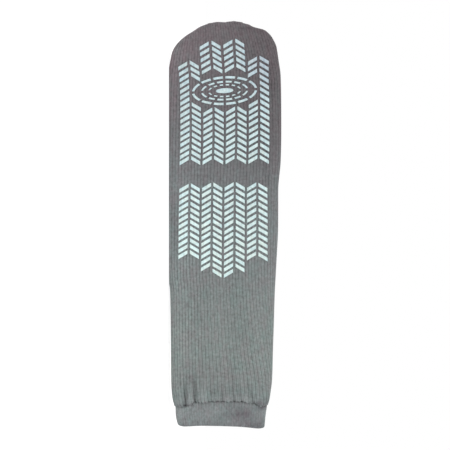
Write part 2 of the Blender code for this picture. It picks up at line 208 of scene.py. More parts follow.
# Knit: ribs (wales) round the tube, and courses along it. The ribs are real, the stitches are bump.
WALES = 82
POINTS_PER_WALE = 7
COLUMNS_AROUND = WALES * POINTS_PER_WALE
COURSE = 0.0012
RIB_HEIGHT = 0.00034
RIB_WIDTH = 0.0025  # a narrower wale has a lower rib
RIB_SHAPE = (0.025, 0.600, 0.425)  # its level, its one wave and its two waves
LINING_STEP = 4  # the lining has one column for this many outside
WALE_DRIFT = 0.14  # how far the leg's ribs have leant round the tube at the cuff, as a share of its girth
DRIFT_START = 0.50  # where they start to lean, as a share of UPPER_LENGTH
SOLE_DRIFT = (0.05, 0.52)  # shares of the girth over which the lean grows, and fades again
INSTEP_DRIFT = (0.55, 1.00)
# The sole's ribs run almost straight over the edge of the toe and end at the toe seam behind it.
TOE_STRAIGHT = 0.050  # behind this distance they go evenly round the tube
TOE_GATHER = 0.22  # how much closer they lie at the tip
TOE_LEAN = 1.9  # how many wales they lean at the tip
TOE_SQUEEZE_POWER = 4
MIDDLE_WALE = 0.497 * FOOT_WIDTH  # where the wale that stays straight lies across the sock
LIP = 0.0011  # rounded end of the leg over the cuff
LIP_STEPS = 4
DENSE_ANGLES = 361
DENSE_PLACES = 4000

# Distance between rings, in rows of a place along the upper and the distance there.
RING_SPACINGS = (
    (0.000, 0.0005),
    (0.004, 0.0009),
    (0.012, 0.0016),
    (0.030, 0.0029),
    (0.290, 0.0030),
    (0.325, 0.0016),
    (UPPER_LENGTH - LIP, 0.0010),
)
LINING_SPACING = 0.0075

# Soft troughs and ridges, in rows of side, along, across, length, width, depth and
# lean. side is -1 on the sole and +1 on the instep. along and length are shares of UPPER_LENGTH,
# across and width of FOOT_WIDTH, depth of KNIT_WALL, with troughs below 0. lean is the drift across
# the sock for each unit along it.
FOLDS = (
    # slack of the foot
    (-1, 0.540, 0.055, 0.120, 0.040, -0.34, 0.00),
    (-1, 0.500, 0.120, 0.150, 0.050, 0.16, 0.02),
    (-1, 0.380, 0.880, 0.130, 0.060, -0.20, -0.02),
    (-1, 0.160, 0.900, 0.080, 0.050, -0.22, 0.08),
    (-1, 0.150, 0.120, 0.080, 0.050, -0.18, -0.08),
    (1, 0.240, 0.350, 0.140, 0.090, -0.40, 0.10),
    (1, 0.250, 0.560, 0.150, 0.100, 0.30, 0.06),
    (1, 0.520, 0.300, 0.180, 0.080, -0.42, 0.05),
    (1, 0.540, 0.500, 0.200, 0.090, 0.36, 0.05),
    (1, 0.560, 0.720, 0.170, 0.080, -0.40, 0.02),
    # slack of the leg
    (-1, 0.760, 0.230, 0.140, 0.070, -0.10, 0.04),
    (-1, 0.800, 0.420, 0.150, 0.080, 0.10, 0.06),
    (-1, 0.780, 0.640, 0.160, 0.080, -0.10, 0.10),
    (-1, 0.830, 0.800, 0.120, 0.060, 0.14, 0.12),
    (1, 0.780, 0.280, 0.140, 0.080, -0.45, 0.06),
    (1, 0.800, 0.470, 0.160, 0.090, 0.40, 0.02),
    (1, 0.790, 0.680, 0.150, 0.080, -0.40, -0.04),
)
# Gathers over the cuff, in rows of across and what follows it: they all end at the seam.
SOLE_GATHERS = (
    (0.100, 0.060, 0.014, 0.25, 0.05),
    (0.148, 0.095, 0.014, -0.95, 0.04),
    (0.192, 0.080, 0.014, 0.60, 0.04),
    (0.234, 0.120, 0.015, -0.85, 0.03),
    (0.310, 0.080, 0.026, 0.50, 0.02),
    (0.375, 0.050, 0.012, -0.30, 0.02),
    (0.435, 0.040, 0.011, -0.28, 0.02),
    (0.480, 0.055, 0.014, -0.36, 0.06),
    (0.530, 0.050, 0.016, 0.30, 0.08),
    (0.585, 0.050, 0.013, -0.34, 0.12),
    (0.650, 0.060, 0.014, -0.34, 0.20),
    (0.700, 0.060, 0.018, 0.30, 0.26),
    (0.760, 0.070, 0.015, -0.42, 0.30),
    (0.820, 0.045, 0.020, 0.30, 0.20),
)
INSTEP_GATHERS = (
    (0.130, 0.060, 0.016, -0.50, 0.02),
    (0.200, 0.070, 0.018, 0.45, 0.02),
    (0.265, 0.080, 0.015, -0.60, 0.02),
    (0.340, 0.060, 0.016, 0.35, 0.00),
    (0.405, 0.075, 0.014, -0.50, 0.00),
    (0.475, 0.060, 0.018, 0.35, -0.02),
    (0.545, 0.085, 0.015, -0.62, -0.04),
    (0.615, 0.060, 0.016, 0.40, -0.06),
    (0.680, 0.070, 0.014, -0.48, -0.08),
    (0.750, 0.070, 0.018, 0.40, -0.10),
    (0.815, 0.060, 0.014, -0.45, -0.12),
)
FOLDS += tuple((-1, 1.0, *row) for row in SOLE_GATHERS) + tuple((1, 1.0, *row) for row in INSTEP_GATHERS)
FOLD_TURN = 0.25  # face at which a fold of one side has faded out on the other
FOLD_START = 0.02  # distance from the tip where the folds have their full height

# The puffed, puckered knit beside the cuff's seam.
PUFF = 0.0007
PUFF_REACH = 0.0085
PUCKER_COUNT = 58
PUCKER_DEPTH = 0.00032
PUCKER_REACH = 0.0042
PUCKER_STRAYS = ((0.7, 7, 0), (0.5, 11, 1))  # strength, count and phase of what makes them uneven
SEAM_FLAT = (0.25, 0.85)  # face between which they grow, which keeps them off the folds

# How the cuff's seam strays from its arch, in rows of side, which is -1 at the lower fold and +1 at
# the upper, and shift, a share of SEAM_ARCH away from the toe.
SEAM_BENDS = (
    (-1.00, 0.06),
    (-0.89, 0.38),
    (-0.77, 0.60),
    (-0.68, 0.25),
    (-0.57, 0.12),
    (-0.30, 0.09),
    (0.00, 0.08),
    (0.40, 0.04),
    (0.68, 0.09),
    (0.83, 0.30),
    (1.00, -0.18),
)

# Cuff: faint ribs, a stitched line round its middle, and rounded corners at the rim.
CUFF_POINTS_PER_WALE = 4
CUFF_RIB_HEIGHT = 0.00006
CUFF_SPACING = 0.0010
# Painted shade under the leg's edge, as deep as the groove there looks, and how far it reaches.
SEAM_SHADE = 0.0009  # how deep the groove under the leg's edge looks
SEAM_SHADE_REACH = 0.0009
CUFF_TUCK = 0.0009  # how far the cuff reaches into the leg's wall, out of sight
HEM_LINE = 0.535  # share of CUFF_HEIGHT
HEM_GROOVE = 0.00022
HEM_WIDTH = 0.0007
HEM_BREAKS = (0.4, 9)  # how much shallower it gets in places, and how many
CUFF_PUCKERS = 0.8  # as a share of the leg's
CUFF_WAVE = 0.00022  # soft waves
CUFF_WAVE_START = 0.006
CUFF_WAVE_COUNTS = (5, 30)  # round the cuff and for each metre along it
RIM_CORNER = 0.0016
RIM_CORNER_POWER = 14
RIM_STEPS = 9

# The two uneven lobes of the toe's edge, in rows of across, a share of FOOT_WIDTH, and how far the
# edge is set back there.
TIP_EDGE = (
    (0.370, -0.00030),
    (0.388, 0.00085),
    (0.419, 0.00040),
    (0.446, 0.00038),
    (0.473, 0.00050),
    (0.500, 0.00058),
    (0.526, 0.00014),
    (0.553, -0.00013),
    (0.580, -0.00044),
    (0.607, -0.00010),
    (0.634, 0.00022),
    (0.656, 0.00060),
)
TIP_REACH = 0.0030  # where that has faded out
TIP_WIDTH_FROM = 0.00093  # the tip has the width that the toe has here
TIP_DOME = 0.0011  # how far the middle of the tip bulges before its corners
TIP_DOME_POWER = 8
TIP_ROUND = 0.07  # how much narrower its last ring is
TIP_TURNS = (80, 60, 40, 20)  # the turns of its rings, in degrees

# Behind its uneven edge the toe's face follows an even curve.
TOE_CURVE_LENGTH = 0.045
TOE_CURVE_POWER = 2.3
TOE_CURVE_MIDDLE = 0.507  # share of FOOT_WIDTH
TOE_CURVE_TIP = 0.12
TOE_EDGE_POWER = 4
TOE_FADE = (0.010, 0.017)


def scaled(rows, start, length, width, depth):
    """Sections turned from shares into metres."""
    return np.array(rows) * (length, width, width, depth, depth) + (start, 0.0, 0.0, 0.0, 0.0)


def passed_lengths(steps):
    """The distance passed at each point, from the steps between the points."""
    return np.concatenate(([0.0], np.cumsum(steps)))


def unit(vectors):
    """The same directions with a length of 1."""
    return vectors / np.maximum(np.linalg.norm(vectors, axis=-1, keepdims=True), 1e-12)


def smooth_slopes(xs, ys):
    """Slopes of a curve through the points that never overshoots them."""
    steps = [b - a for a, b in zip(xs, xs[1:])]
    rates = [(b - a) / h for a, b, h in zip(ys, ys[1:], steps)]
    slopes = [rates[0]]
    for h0, h1, r0, r1 in zip(steps, steps[1:], rates, rates[1:]):
        middle = (r0 * h1 + r1 * h0) / (h0 + h1)
        limit = 2 * min(abs(r0), abs(r1))
        slopes.append(math.copysign(min(abs(middle), limit), middle) if r0 * r1 > 0 else 0.0)
    return slopes + [rates[-1]]


class Profile:
    """A table read smoothly between its rows, for whole arrays at once. Its first column is the place."""

    def __init__(self, rows):
        table = np.array(rows, float)
        self.place, self.columns = table[:, 0], table[:, 1:].T
        self.slopes = [np.array(smooth_slopes(list(self.place), list(c))) for c in self.columns]

    def at(self, place):
        place = np.clip(place, self.place[0], self.place[-1])
        i = np.clip(np.searchsorted(self.place, place, side="right") - 1, 0, len(self.place) - 2)
        h = self.place[i + 1] - self.place[i]
        t = (place - self.place[i]) / h
        return [
            c[i] * (1 + 2 * t) * (1 - t) ** 2
            + c[i + 1] * t * t * (3 - 2 * t)
            + h * (s[i] * t * (1 - t) ** 2 + s[i + 1] * t * t * (t - 1))
            for c, s in zip(self.columns, self.slopes)
        ]


CUFF = Profile(scaled(CUFF_SECTIONS, UPPER_LENGTH, CUFF_HEIGHT, CUFF_WIDTH, CUFF_DEPTH))
SEAM_LOW, SEAM_HIGH, *SEAM_DEPTHS = (float(v) for v in CUFF.at(UPPER_LENGTH))
UPPER = Profile(
    [
        *scaled(FOOT_SECTIONS, 0.0, FOOT_LENGTH, FOOT_WIDTH, FOOT_DEPTH),
        *scaled(LEG_SECTIONS, FOOT_LENGTH, LEG_LENGTH, LEG_WIDTH, LEG_DEPTH),
        (UPPER_LENGTH, SEAM_LOW - SEAM_STEP, *(v + SEAM_STEP for v in (SEAM_HIGH, *SEAM_DEPTHS))),
    ]
)
PRINT = Profile(np.array(PRINT_LINE) * (FOOT_LENGTH, FOOT_WIDTH, 1.0))
BENDS = Profile(SEAM_BENDS)
TIP = Profile(TIP_EDGE)

# Where the toe tip and the line through the folds lie in the frame.
UPPER_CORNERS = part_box("upper")
TOE_X = UPPER_CORNERS[0].x
FOLD_Y = UPPER_CORNERS[1].y - max(instep for *_, instep in FOOT_SECTIONS) * FOOT_DEPTH
SEAM_X = TOE_X + UPPER_LENGTH


def smoothstep(low, high, value):
    t = np.clip((value - low) / (high - low), 0.0, 1.0)
    return t * t * (3 - 2 * t)


def arch(along, side):
    """How far a point is shifted along the sock by the arches of the seam and the rim, by the
    seam's strays and by the rounded corners of the rim."""
    leg_share = np.clip((along - FOOT_LENGTH) / LEG_LENGTH, 0.0, 1.0)
    cuff_share = np.clip((along - UPPER_LENGTH) / CUFF_HEIGHT, 0.0, 1.0)
    depth = SEAM_ARCH * leg_share**ARCH_ONSET + (RIM_ARCH - SEAM_ARCH) * cuff_share
    stray = SEAM_ARCH * BENDS.at(side)[0] * leg_share ** (4 * ARCH_ONSET) * (1 - cuff_share) ** 2
    corner = RIM_CORNER * np.abs(side) ** RIM_CORNER_POWER * cuff_share**3
    return RIM_TILT * cuff_share * side - depth * (1 - np.abs(side) ** ARCH_POWER) + stray - corner


def tip_edge(along, across, side):
    """How far the toe's edge is set back, with room for the bulge of the tip."""
    back = TIP.at(across / FOOT_WIDTH)[0] + TIP_DOME * (1 - np.abs(side) ** TIP_DOME_POWER)
    return back * (1 - smoothstep(0.0, TIP_REACH, along))


def even_toe(along, low, high):
    """Low and high of the even curve behind the toe's edge, which are the real ones past the toe."""
    left = np.clip(1 - along / TOE_CURVE_LENGTH, 0.0, 1.0)
    width = (1 - left**TOE_CURVE_POWER) ** (1 / TOE_CURVE_POWER)
    half = FOOT_WIDTH / 2 * np.maximum(width, TOE_CURVE_TIP)
    fade = 1 - smoothstep(*TOE_FADE, along)
    middle = TOE_CURVE_MIDDLE * FOOT_WIDTH
    return low + (middle - half - low) * fade, high + (middle + half - high) * fade


def to_world(along, depth, across):
    return np.stack(np.broadcast_arrays(TOE_X + along, FOLD_Y + depth, across), -1)


def tube(profile, along, angle, inset=0.0):
    """Points of the tube, inset from its outer face, with side and face. Angle 0 is the upper fold
    and a quarter turn the middle of the instep."""
    sole, instep = profile.at(along)[2:]
    wide = np.maximum(along, TIP_WIDTH_FROM)
    low, high = profile.at(wide)[:2]
    c, s = np.cos(angle), np.sin(angle)
    power = np.where(s >= 0, FOLD_EXPONENT_INSTEP, FOLD_EXPONENT_SOLE)
    reach = (np.abs(c) ** power + np.abs(s) ** power) ** (-1 / power)
    side, face = reach * c, reach * s
    even_low, even_high = even_toe(wide, low, high)
    across = (even_low + even_high) / 2 + ((even_high - even_low) / 2 - inset) * side
    across += np.where(side >= 0, high - even_high, low - even_low) * side**TOE_EDGE_POWER
    across = np.maximum(across, inset)
    depth = (np.where(s >= 0, instep, sole) - inset) * face
    points = to_world(along + arch(along, side) + tip_edge(along, across, side), depth, across)
    return points, side, face


def even_angles(profile, along, turns, inset=0.0):
    """For each ring, the angles at shares of its girth, which is counted from the lower fold by the
    sole. With them comes a row for each ring: its girth, and its shares at the upper fold and at
    the middle wale of the sole and of the instep."""
    dense = np.linspace(math.pi, 3 * math.pi, DENSE_ANGLES)
    upper_fold = DENSE_ANGLES // 2
    angles = np.empty((len(along), turns.shape[-1]))
    girths = np.empty((len(along), 4))
    for i, place in enumerate(along):
        points = tube(profile, place, dense, inset)[0]
        passed = passed_lengths(np.linalg.norm(np.diff(points, axis=0), axis=1))
        share = passed / passed[-1]
        row = turns[i] if turns.ndim > 1 else turns
        lap = np.floor(row)
        angles[i] = np.interp(row - lap, share, dense) + TURN * lap
        across = points[:, 2]
        sole = np.interp(MIDDLE_WALE, across[: upper_fold + 1], share[: upper_fold + 1])
        instep = np.interp(MIDDLE_WALE, across[:upper_fold:-1], share[:upper_fold:-1])
        girths[i] = passed[-1], share[upper_fold], sole, instep
    return angles, girths


def ring_places(spacings):
    """Places along the sock, as far apart as the table says."""
    starts, steps = zip(*spacings)
    fine = np.linspace(starts[0], starts[-1], DENSE_PLACES)
    passed = passed_lengths(np.diff(fine) / np.interp(fine, starts, steps)[:-1])
    count = int(round(passed[-1]))
    return np.interp(np.linspace(0, passed[-1], count + 1), passed, fine)


def grid_normals(points):
    """Outward normals of rings of points, closed round the tube."""
    round_it = np.roll(points, -1, axis=1) - np.roll(points, 1, axis=1)
    return unit(np.cross(np.gradient(points, axis=0), round_it))


def folds_at(along, across, face):
    """Height of the soft troughs and ridges at places of the upper."""
    height = np.zeros(np.broadcast(along, across).shape)
    for side, middle, beside, length, width, depth, lean in FOLDS:
        ahead = along - middle * UPPER_LENGTH
        aside = (across - beside * FOOT_WIDTH - lean * ahead) / (width * FOOT_WIDTH)
        here = np.clip(1 - (ahead / (length * UPPER_LENGTH)) ** 2, 0.0, 1.0) ** 2 * np.exp(-aside * aside)
        height += depth * KNIT_WALL * here * smoothstep(-FOLD_TURN, FOLD_TURN, side * face)
    return height * smoothstep(0.0, FOLD_START, along)


def puckers(turn, distance):
    """Height of the fine ripple beside the cuff's seam. distance is from the seam."""
    stray = sum(strength * np.sin(TURN * count * turn + phase) for strength, count, phase in PUCKER_STRAYS)
    ripple = np.cos(TURN * PUCKER_COUNT * turn + stray)
    return PUCKER_DEPTH * ripple * np.exp(-((distance / PUCKER_REACH) ** 2))


def puff(distance):
    """The knit bulges a little before it is drawn in at the seam."""
    share = np.clip(distance / PUFF_REACH, 0.0, 1.0)
    return PUFF * 27 / 4 * share * (1 - share) ** 2


def rib(wale):
    """Height of a rib, from -1 in the groove to its two rows of stitch legs."""
    level, one, two = RIB_SHAPE
    return level - one * np.cos(TURN * wale) - two * np.cos(2 * TURN * wale)


def wale_turns(along, count):
    """Shares of the girth where the columns lie: even, but leaning more and more down the leg."""
    turn = np.arange(count) / count
    grown = np.clip(along / UPPER_LENGTH - DRIFT_START, 0.0, 1.0) / (1 - DRIFT_START)
    drawn = smoothstep(*SOLE_DRIFT, turn) - smoothstep(*INSTEP_DRIFT, turn)
    return turn + WALE_DRIFT * (grown**2)[:, None] * drawn


TOE_SEAM_END = TOE_SEAM_INSET + TOE_SEAM_SWEEP  # how far back the toe seam reaches


def toe_seam_along(share):
    """Where the toe seam lies. share is -1 and 1 at its ends."""
    return TOE_SEAM_INSET + TOE_SEAM_SWEEP * np.abs(share) ** TOE_SEAM_POWER


def wale_grids(along, girths):
    """The wale at each column of each ring, and one more column: as the sole's knit has it, as it has
    it where it has passed over the toe, and as the instep's knit has it. In the toe the wales keep
    their distance from the middle one, and what no longer fits is squeezed at the folds or ends at
    the toe seam."""
    turn = np.arange(COLUMNS_AROUND + 1)[None, :] / COLUMNS_AROUND
    ahead = np.clip(1 - along / TOE_STRAIGHT, 0.0, 1.0)
    girth, fold, sole, instep = girths.T
    full_girth, full_fold, full_sole, full_instep = (np.interp(TOE_STRAIGHT, along, c) for c in girths.T)
    narrow = np.minimum(1.0, girth / full_girth) / (1 - TOE_GATHER * ahead)
    lean = (TOE_LEAN / WALES * ahead**2)[:, None]

    def wales(turn, middle, full_middle, *folds):
        """Wales round the middle one, between the fold before it and the one after it."""
        away = turn - middle[:, None]
        sides = []
        for end, full_end in folds:
            missing = (full_end - full_middle) - (end - middle) * narrow
            missing = np.where(along < TOE_SEAM_END, np.interp(TOE_SEAM_END, along, missing), missing)
            near_fold = np.clip(away / (end - middle)[:, None], 0.0, 1.0) ** TOE_SQUEEZE_POWER
            sides.append(away * narrow[:, None] + missing[:, None] * near_fold)
        return full_middle + np.where(away < 0, *sides)

    folds = ((np.zeros(len(along)), 0.0), (fold, full_fold), (np.ones(len(along)), 1.0))
    over = fold[:, None] * (1 - turn) / (1 - fold[:, None])
    grids = (
        wales(turn, sole, full_sole, *folds[:2]) + lean,
        wales(over, sole, full_sole, *folds[:2]) + lean,
        wales(turn, instep, full_instep, *folds[1:]),
    )
    behind = along[:, None] >= TOE_STRAIGHT
    return [WALES * np.where(behind, turn, grid) for grid in grids]


def linked(name, data):
    """A new object in the scene."""
    made = bpy.data.objects.new(name, data)
    bpy.context.scene.collection.objects.link(made)
    return made


def wrapped(grid):
    """A grid with its first column once more at its end."""
    return np.concatenate((grid, grid[:, :1]), axis=1)


def corners_of(grid):
    """The values of a grid at the four corners of each of its cells, in a face's order."""
    return np.stack((grid[:-1, :-1], grid[:-1, 1:], grid[1:, 1:], grid[1:, :-1]), -1)


class Builder:
    """Collects the vertices, faces and corners' UVs of one mesh."""

    def __init__(self):
        self.vertices, self.creases, self.faces, self.uvs, self.slots = [], [], [], [], []
        self.count = 0

    def add(self, points, creases=0.0):
        """Adds points with the heights for the painted fold shade, and gives the first one's number."""
        first = self.count
        self.vertices.append(np.reshape(points, (-1, 3)))
        self.creases.append(np.broadcast_to(creases, np.shape(points)[:-1]).ravel())
        self.count += len(self.vertices[-1])
        return first

    def face(self, corners, uvs, slot=0):
        self.faces.append(tuple(int(c) for c in corners))
        self.uvs.extend(uvs)
        self.slots.append(slot)

    def rings(self, points, across_uv, along_uv, slot=0, creases=0.0):
        """Quads between closed rings. across_uv has one value more than a ring has points, or the
        values of all the corners."""
        rows, columns = points.shape[:2]
        first = self.add(points, creases)
        if np.ndim(across_uv) == 1:
            across_uv = corners_of(np.broadcast_to(across_uv, (rows, columns + 1)))
        along_uv = corners_of(np.broadcast_to(np.reshape(along_uv, (-1, 1)), (rows, columns + 1)))
        index = corners_of(wrapped(first + np.arange(rows * columns).reshape(rows, columns)))
        self.faces.extend(map(tuple, index.reshape(-1, 4).tolist()))
        self.uvs.extend(np.stack((across_uv, along_uv), -1).reshape(-1, 2).tolist())
        self.slots.extend([slot] * ((rows - 1) * columns))
        return first

    def thread(self, points, along_uv):
        """Closed rings with flat ends."""
        cuts, sides = points.shape[:2]
        first = self.rings(points, np.arange(sides + 1) / sides, along_uv)
        index = first + np.arange(cuts * sides).reshape(cuts, sides)
        for end in (index[0], index[-1, ::-1]):
            self.face(end, [(0.0, 0.0)] * sides)

    def finish(self, name, *materials):
        """The smooth-shaded object."""
        mesh = bpy.data.meshes.new(name)
        mesh.from_pydata(np.concatenate(self.vertices).tolist(), [], self.faces)
        for material in materials:
            mesh.materials.append(material)
        mesh.polygons.foreach_set("material_index", self.slots)
        layer = mesh.uv_layers.new(name="stitches")
        layer.data.foreach_set("uv", np.asarray(self.uvs, np.float32).ravel())
        creases = np.concatenate(self.creases).astype(np.float32)
        mesh.attributes.new("crease", "FLOAT", "POINT").data.foreach_set("value", creases)
        mesh.validate()
        shell = bmesh.new()
        shell.from_mesh(mesh)
        bmesh.ops.recalc_face_normals(shell, faces=shell.faces)
        shell.to_mesh(mesh)
        shell.free()
        mesh.shade_smooth()
        return linked(name, mesh)


def upper_rings():
    """Along, inset and the turn over the tip of each ring, from the tip to the leg's rounded end."""
    lip_turns = np.linspace(0, math.pi / 2, LIP_STEPS + 1)[1:]
    lip_along = UPPER_LENGTH - LIP + LIP * np.sin(lip_turns)
    along = np.concatenate((np.zeros(len(TIP_TURNS)), ring_places(RING_SPACINGS), lip_along))
    inset, tip_turn = np.zeros(len(along)), np.zeros(len(along))
    inset[-LIP_STEPS:] = LIP * (1 - np.cos(lip_turns))
    tip_turn[: len(TIP_TURNS)] = np.radians(TIP_TURNS)
    return along, inset, tip_turn


def turn_tip(points, side, turn):
    """Turns the first rings inwards over the tip, so that its edge is round."""
    points[..., 0] -= TIP_DOME * np.sin(turn) * (1 - np.abs(side) ** TIP_DOME_POWER)
    points[..., 1] = FOLD_Y + (points[..., 1] - FOLD_Y) * np.cos(turn)
    middle = points[..., 2].mean(1, keepdims=True)
    points[..., 2] += TIP_ROUND * (1 - np.cos(turn)) * (middle - points[..., 2])


def upper_wales(along, girths, across, face):
    """The wale at each point, and at each face's corners, which all take it from the same knit."""
    low, high = (v[:, None] for v in UPPER.at(along)[:2])
    share = (2 * across - (low + high)) / (high - low) / TOE_SEAM_REACH
    instep = face > 0
    over = instep & (along[:, None] < toe_seam_along(share))
    grids = wale_grids(along, girths)
    wale = np.select([~instep, over], [g[:, :-1] for g in grids[:2]], grids[2][:, :-1])
    face_instep, face_over = (corners_of(wrapped(m)).sum(-1, keepdims=True) >= 2 for m in (instep, over))
    corners = [corners_of(g) for g in grids]
    return wale, np.select([~face_instep, face_over], corners[:2], corners[2])


def rib_heights(along, girth, tip_turn):
    """Height of the ribs of each ring: lower where they are narrow, and none at the tip's middle."""
    ahead = np.clip(1 - along / TOE_STRAIGHT, 0.0, 1.0)
    full_girth = np.interp(TOE_STRAIGHT, along, girth)
    pitch = np.where(ahead > 0, full_girth * (1 - TOE_GATHER * ahead), girth) / WALES
    return RIB_HEIGHT * np.minimum(1.0, pitch / RIB_WIDTH) * np.cos(tip_turn) ** 2


def make_upper(knit, lining):
    """The knitted tube with real ribs, folds and gathers outside and a smooth lining inside."""
    along, inset, tip_turn = upper_rings()
    turns = wale_turns(along, COLUMNS_AROUND)
    angles, girths = even_angles(UPPER, along, turns)
    place = along[:, None]
    points, side, face = tube(UPPER, place, angles, inset[:, None])
    turn_tip(points, side, tip_turn[:, None])
    wale, corner_wales = upper_wales(along, girths, points[..., 2], face)
    gap = UPPER_LENGTH - place
    gathered = (puckers(turns, gap) + puff(gap)) * smoothstep(*SEAM_FLAT, np.abs(face))
    folds = folds_at(place, points[..., 2], face) + gathered
    corner = np.abs(side) ** TIP_DOME_POWER * (1 - smoothstep(0.0, TIP_REACH / 2, place))
    ribs = rib_heights(along, girths[:, 0], tip_turn)[:, None] * (1 - corner) * rib(wale)
    outer = points + grid_normals(points) * (folds + ribs)[..., None]
    outer[..., 2] = np.maximum(outer[..., 2], 0.0)

    builder = Builder()
    # The folds' heights also set the knit's painted shade and light.
    builder.rings(outer, corner_wales, (along - TIP_DOME * tip_turn) / COURSE, creases=folds)
    for k in range(COLUMNS_AROUND // 2):
        across = (k, k + 1, COLUMNS_AROUND - k - 1, (COLUMNS_AROUND - k) % COLUMNS_AROUND)
        corners = list(dict.fromkeys(across))
        builder.face(corners, [(wale[0, c], -TIP_DOME / COURSE) for c in corners])

    # The lining, closed at the toe, and the rim between it and the outside.
    stretch = UPPER_LENGTH - TOE_WALL
    inner_along = TOE_WALL + stretch * np.linspace(0, 1, int(stretch / LINING_SPACING) + 1)
    columns = COLUMNS_AROUND // LINING_STEP
    inner_angles = even_angles(UPPER, inner_along, wale_turns(inner_along, columns), KNIT_WALL)[0]
    inner = tube(UPPER, inner_along[:, None], inner_angles, KNIT_WALL)[0]
    wales = np.arange(COLUMNS_AROUND + 1) / POINTS_PER_WALE
    inner_wales = wales[::LINING_STEP]
    start = builder.rings(inner, inner_wales, inner_along / COURSE, slot=1)
    builder.face(range(start, start + columns), [(w, 0) for w in inner_wales[:-1]], 1)
    last_outer, last_inner = start - COLUMNS_AROUND, builder.count - columns
    rim = along[-1] / COURSE
    for k in range(columns):
        outside = range(k * COLUMNS_AROUND // columns, (k + 1) * COLUMNS_AROUND // columns + 1)
        corners = [last_outer + c % COLUMNS_AROUND for c in outside]
        corners += [last_inner + (k + 1) % columns, last_inner + k]
        across = [wales[c] for c in outside]
        builder.face(corners, [(w, rim) for w in across] + [(across[-1], rim + 1), (across[0], rim + 1)])
    made = builder.finish("sock_upper", knit, lining)
    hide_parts("upper")
    return made


def cuff_height(along, turn, wale):
    """Relief of the cuff's outer layer."""
    gap = along - UPPER_LENGTH
    hem = (gap - HEM_LINE * CUFF_HEIGHT) / HEM_WIDTH
    less, breaks = HEM_BREAKS
    groove = HEM_GROOVE * (1 - less + less * np.sin(TURN * breaks * turn)) * np.exp(-hem * hem)
    around, ahead = CUFF_WAVE_COUNTS
    waves = CUFF_WAVE * np.sin(TURN * (around * turn + ahead * gap)) * smoothstep(0.0, CUFF_WAVE_START, gap)
    return CUFF_RIB_HEIGHT * rib(wale) + CUFF_PUCKERS * puckers(turn, gap) - groove + waves


def make_cuff(outside, inside):
    """The turned welt: outer layer, folded rim and inner layer in one closed wall."""
    columns = WALES * CUFF_POINTS_PER_WALE
    radius = CUFF_WALL / 2
    fold_start = UPPER_LENGTH + CUFF_HEIGHT - radius
    tuck = UPPER_LENGTH - CUFF_TUCK
    straight = np.linspace(UPPER_LENGTH, fold_start, int((fold_start - UPPER_LENGTH) / CUFF_SPACING) + 1)
    turning = np.linspace(0, math.pi, RIM_STEPS + 2)[1:-1]
    stretches = (
        ([tuck, UPPER_LENGTH - CUFF_TUCK / 3], [CUFF_TUCK, CUFF_TUCK / 2]),
        (straight, np.zeros(len(straight))),
        (fold_start + radius * np.sin(turning), radius * (1 - np.cos(turning))),
        (straight[::-1], np.full(len(straight), CUFF_WALL)),
        ([tuck], [CUFF_WALL]),
    )
    along, inset = (np.concatenate(parts) for parts in zip(*stretches))
    turn = np.arange(columns) / columns
    angles = even_angles(CUFF, along, turn)[0]
    gap = along[:, None] - UPPER_LENGTH
    points = tube(CUFF, np.maximum(along, UPPER_LENGTH)[:, None], angles, inset[:, None])[0]
    points[..., 0] += np.minimum(gap, 0.0)
    across_uv = np.arange(columns + 1) / CUFF_POINTS_PER_WALE
    height = cuff_height(along[:, None], turn, across_uv[:-1])
    outer_share = 1 - np.clip(inset / radius, 0.0, 1.0)[:, None]
    shape = points + grid_normals(points) * (height * outer_share)[..., None]
    shape[..., 2] = np.maximum(shape[..., 2], 0.0)
    passed = passed_lengths(np.hypot(np.diff(along), np.diff(inset)))
    # Painted shade on the cuff just under the leg's edge.
    painted_seam_shade = SEAM_SHADE * np.exp(-(np.clip(gap / SEAM_SHADE_REACH, 0.0, None) ** 2))
    builder = Builder()
    builder.rings(shape, across_uv, passed / COURSE, creases=(height - painted_seam_shade) * outer_share)
    last = builder.count - columns
    for k in range(columns):
        n = (k + 1) % columns
        here, after = across_uv[k], across_uv[k + 1]
        builder.face((n, k, last + k, last + n), [(after, 0), (here, 0), (here, 1), (after, 1)])
    outer_faces = sum(len(s[0]) for s in stretches[:3]) * columns
    builder.slots = [0 if i < outer_faces else 1 for i in range(len(builder.slots))]
    made = builder.finish("sock_cuff", outside, inside)
    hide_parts("cuff")
    return made


FACE_STEP = 0.0003  # between the points that a normal is taken from


def face_points(along, across, lift, side=-1):
    """Points over the foot's outer face, lift outside its folds. side is -1 on the sole."""

    def smooth_face(along, across):
        low, high, sole, instep = UPPER.at(along)
        power, depth = (FOLD_EXPONENT_INSTEP, instep) if side > 0 else (FOLD_EXPONENT_SOLE, sole)
        share = np.abs(2 * across - low - high) / (high - low)
        face = side * np.maximum(0.0, 1 - share**power) ** (1 / power)
        return to_world(along, face * depth, across), face

    points, face = smooth_face(along, across)
    ahead, beside = (
        smooth_face(along + a, across + b)[0] - smooth_face(along - a, across - b)[0]
        for a, b in ((FACE_STEP, 0.0), (0.0, FACE_STEP))
    )
    height = lift + folds_at(along, across, face)
    return points + unit(np.cross(ahead, beside) * -side) * height[..., None]


def print_place(column, row, block):
    """Place (along, across) of a lattice point. column 0 is the middle of the lowest column."""
    share = (column - MIDDLE_COLUMN) / MIDDLE_COLUMN
    rows = block.heading * row * block.pitch * (1 + PRINT_SKEW * share)
    along = block.start + rows - ROW_TILT / 2 * share + block.bow * share * share
    middle, spread = PRINT.at(along)
    return along, middle + (column - MIDDLE_COLUMN) * COLUMN_PITCH * spread


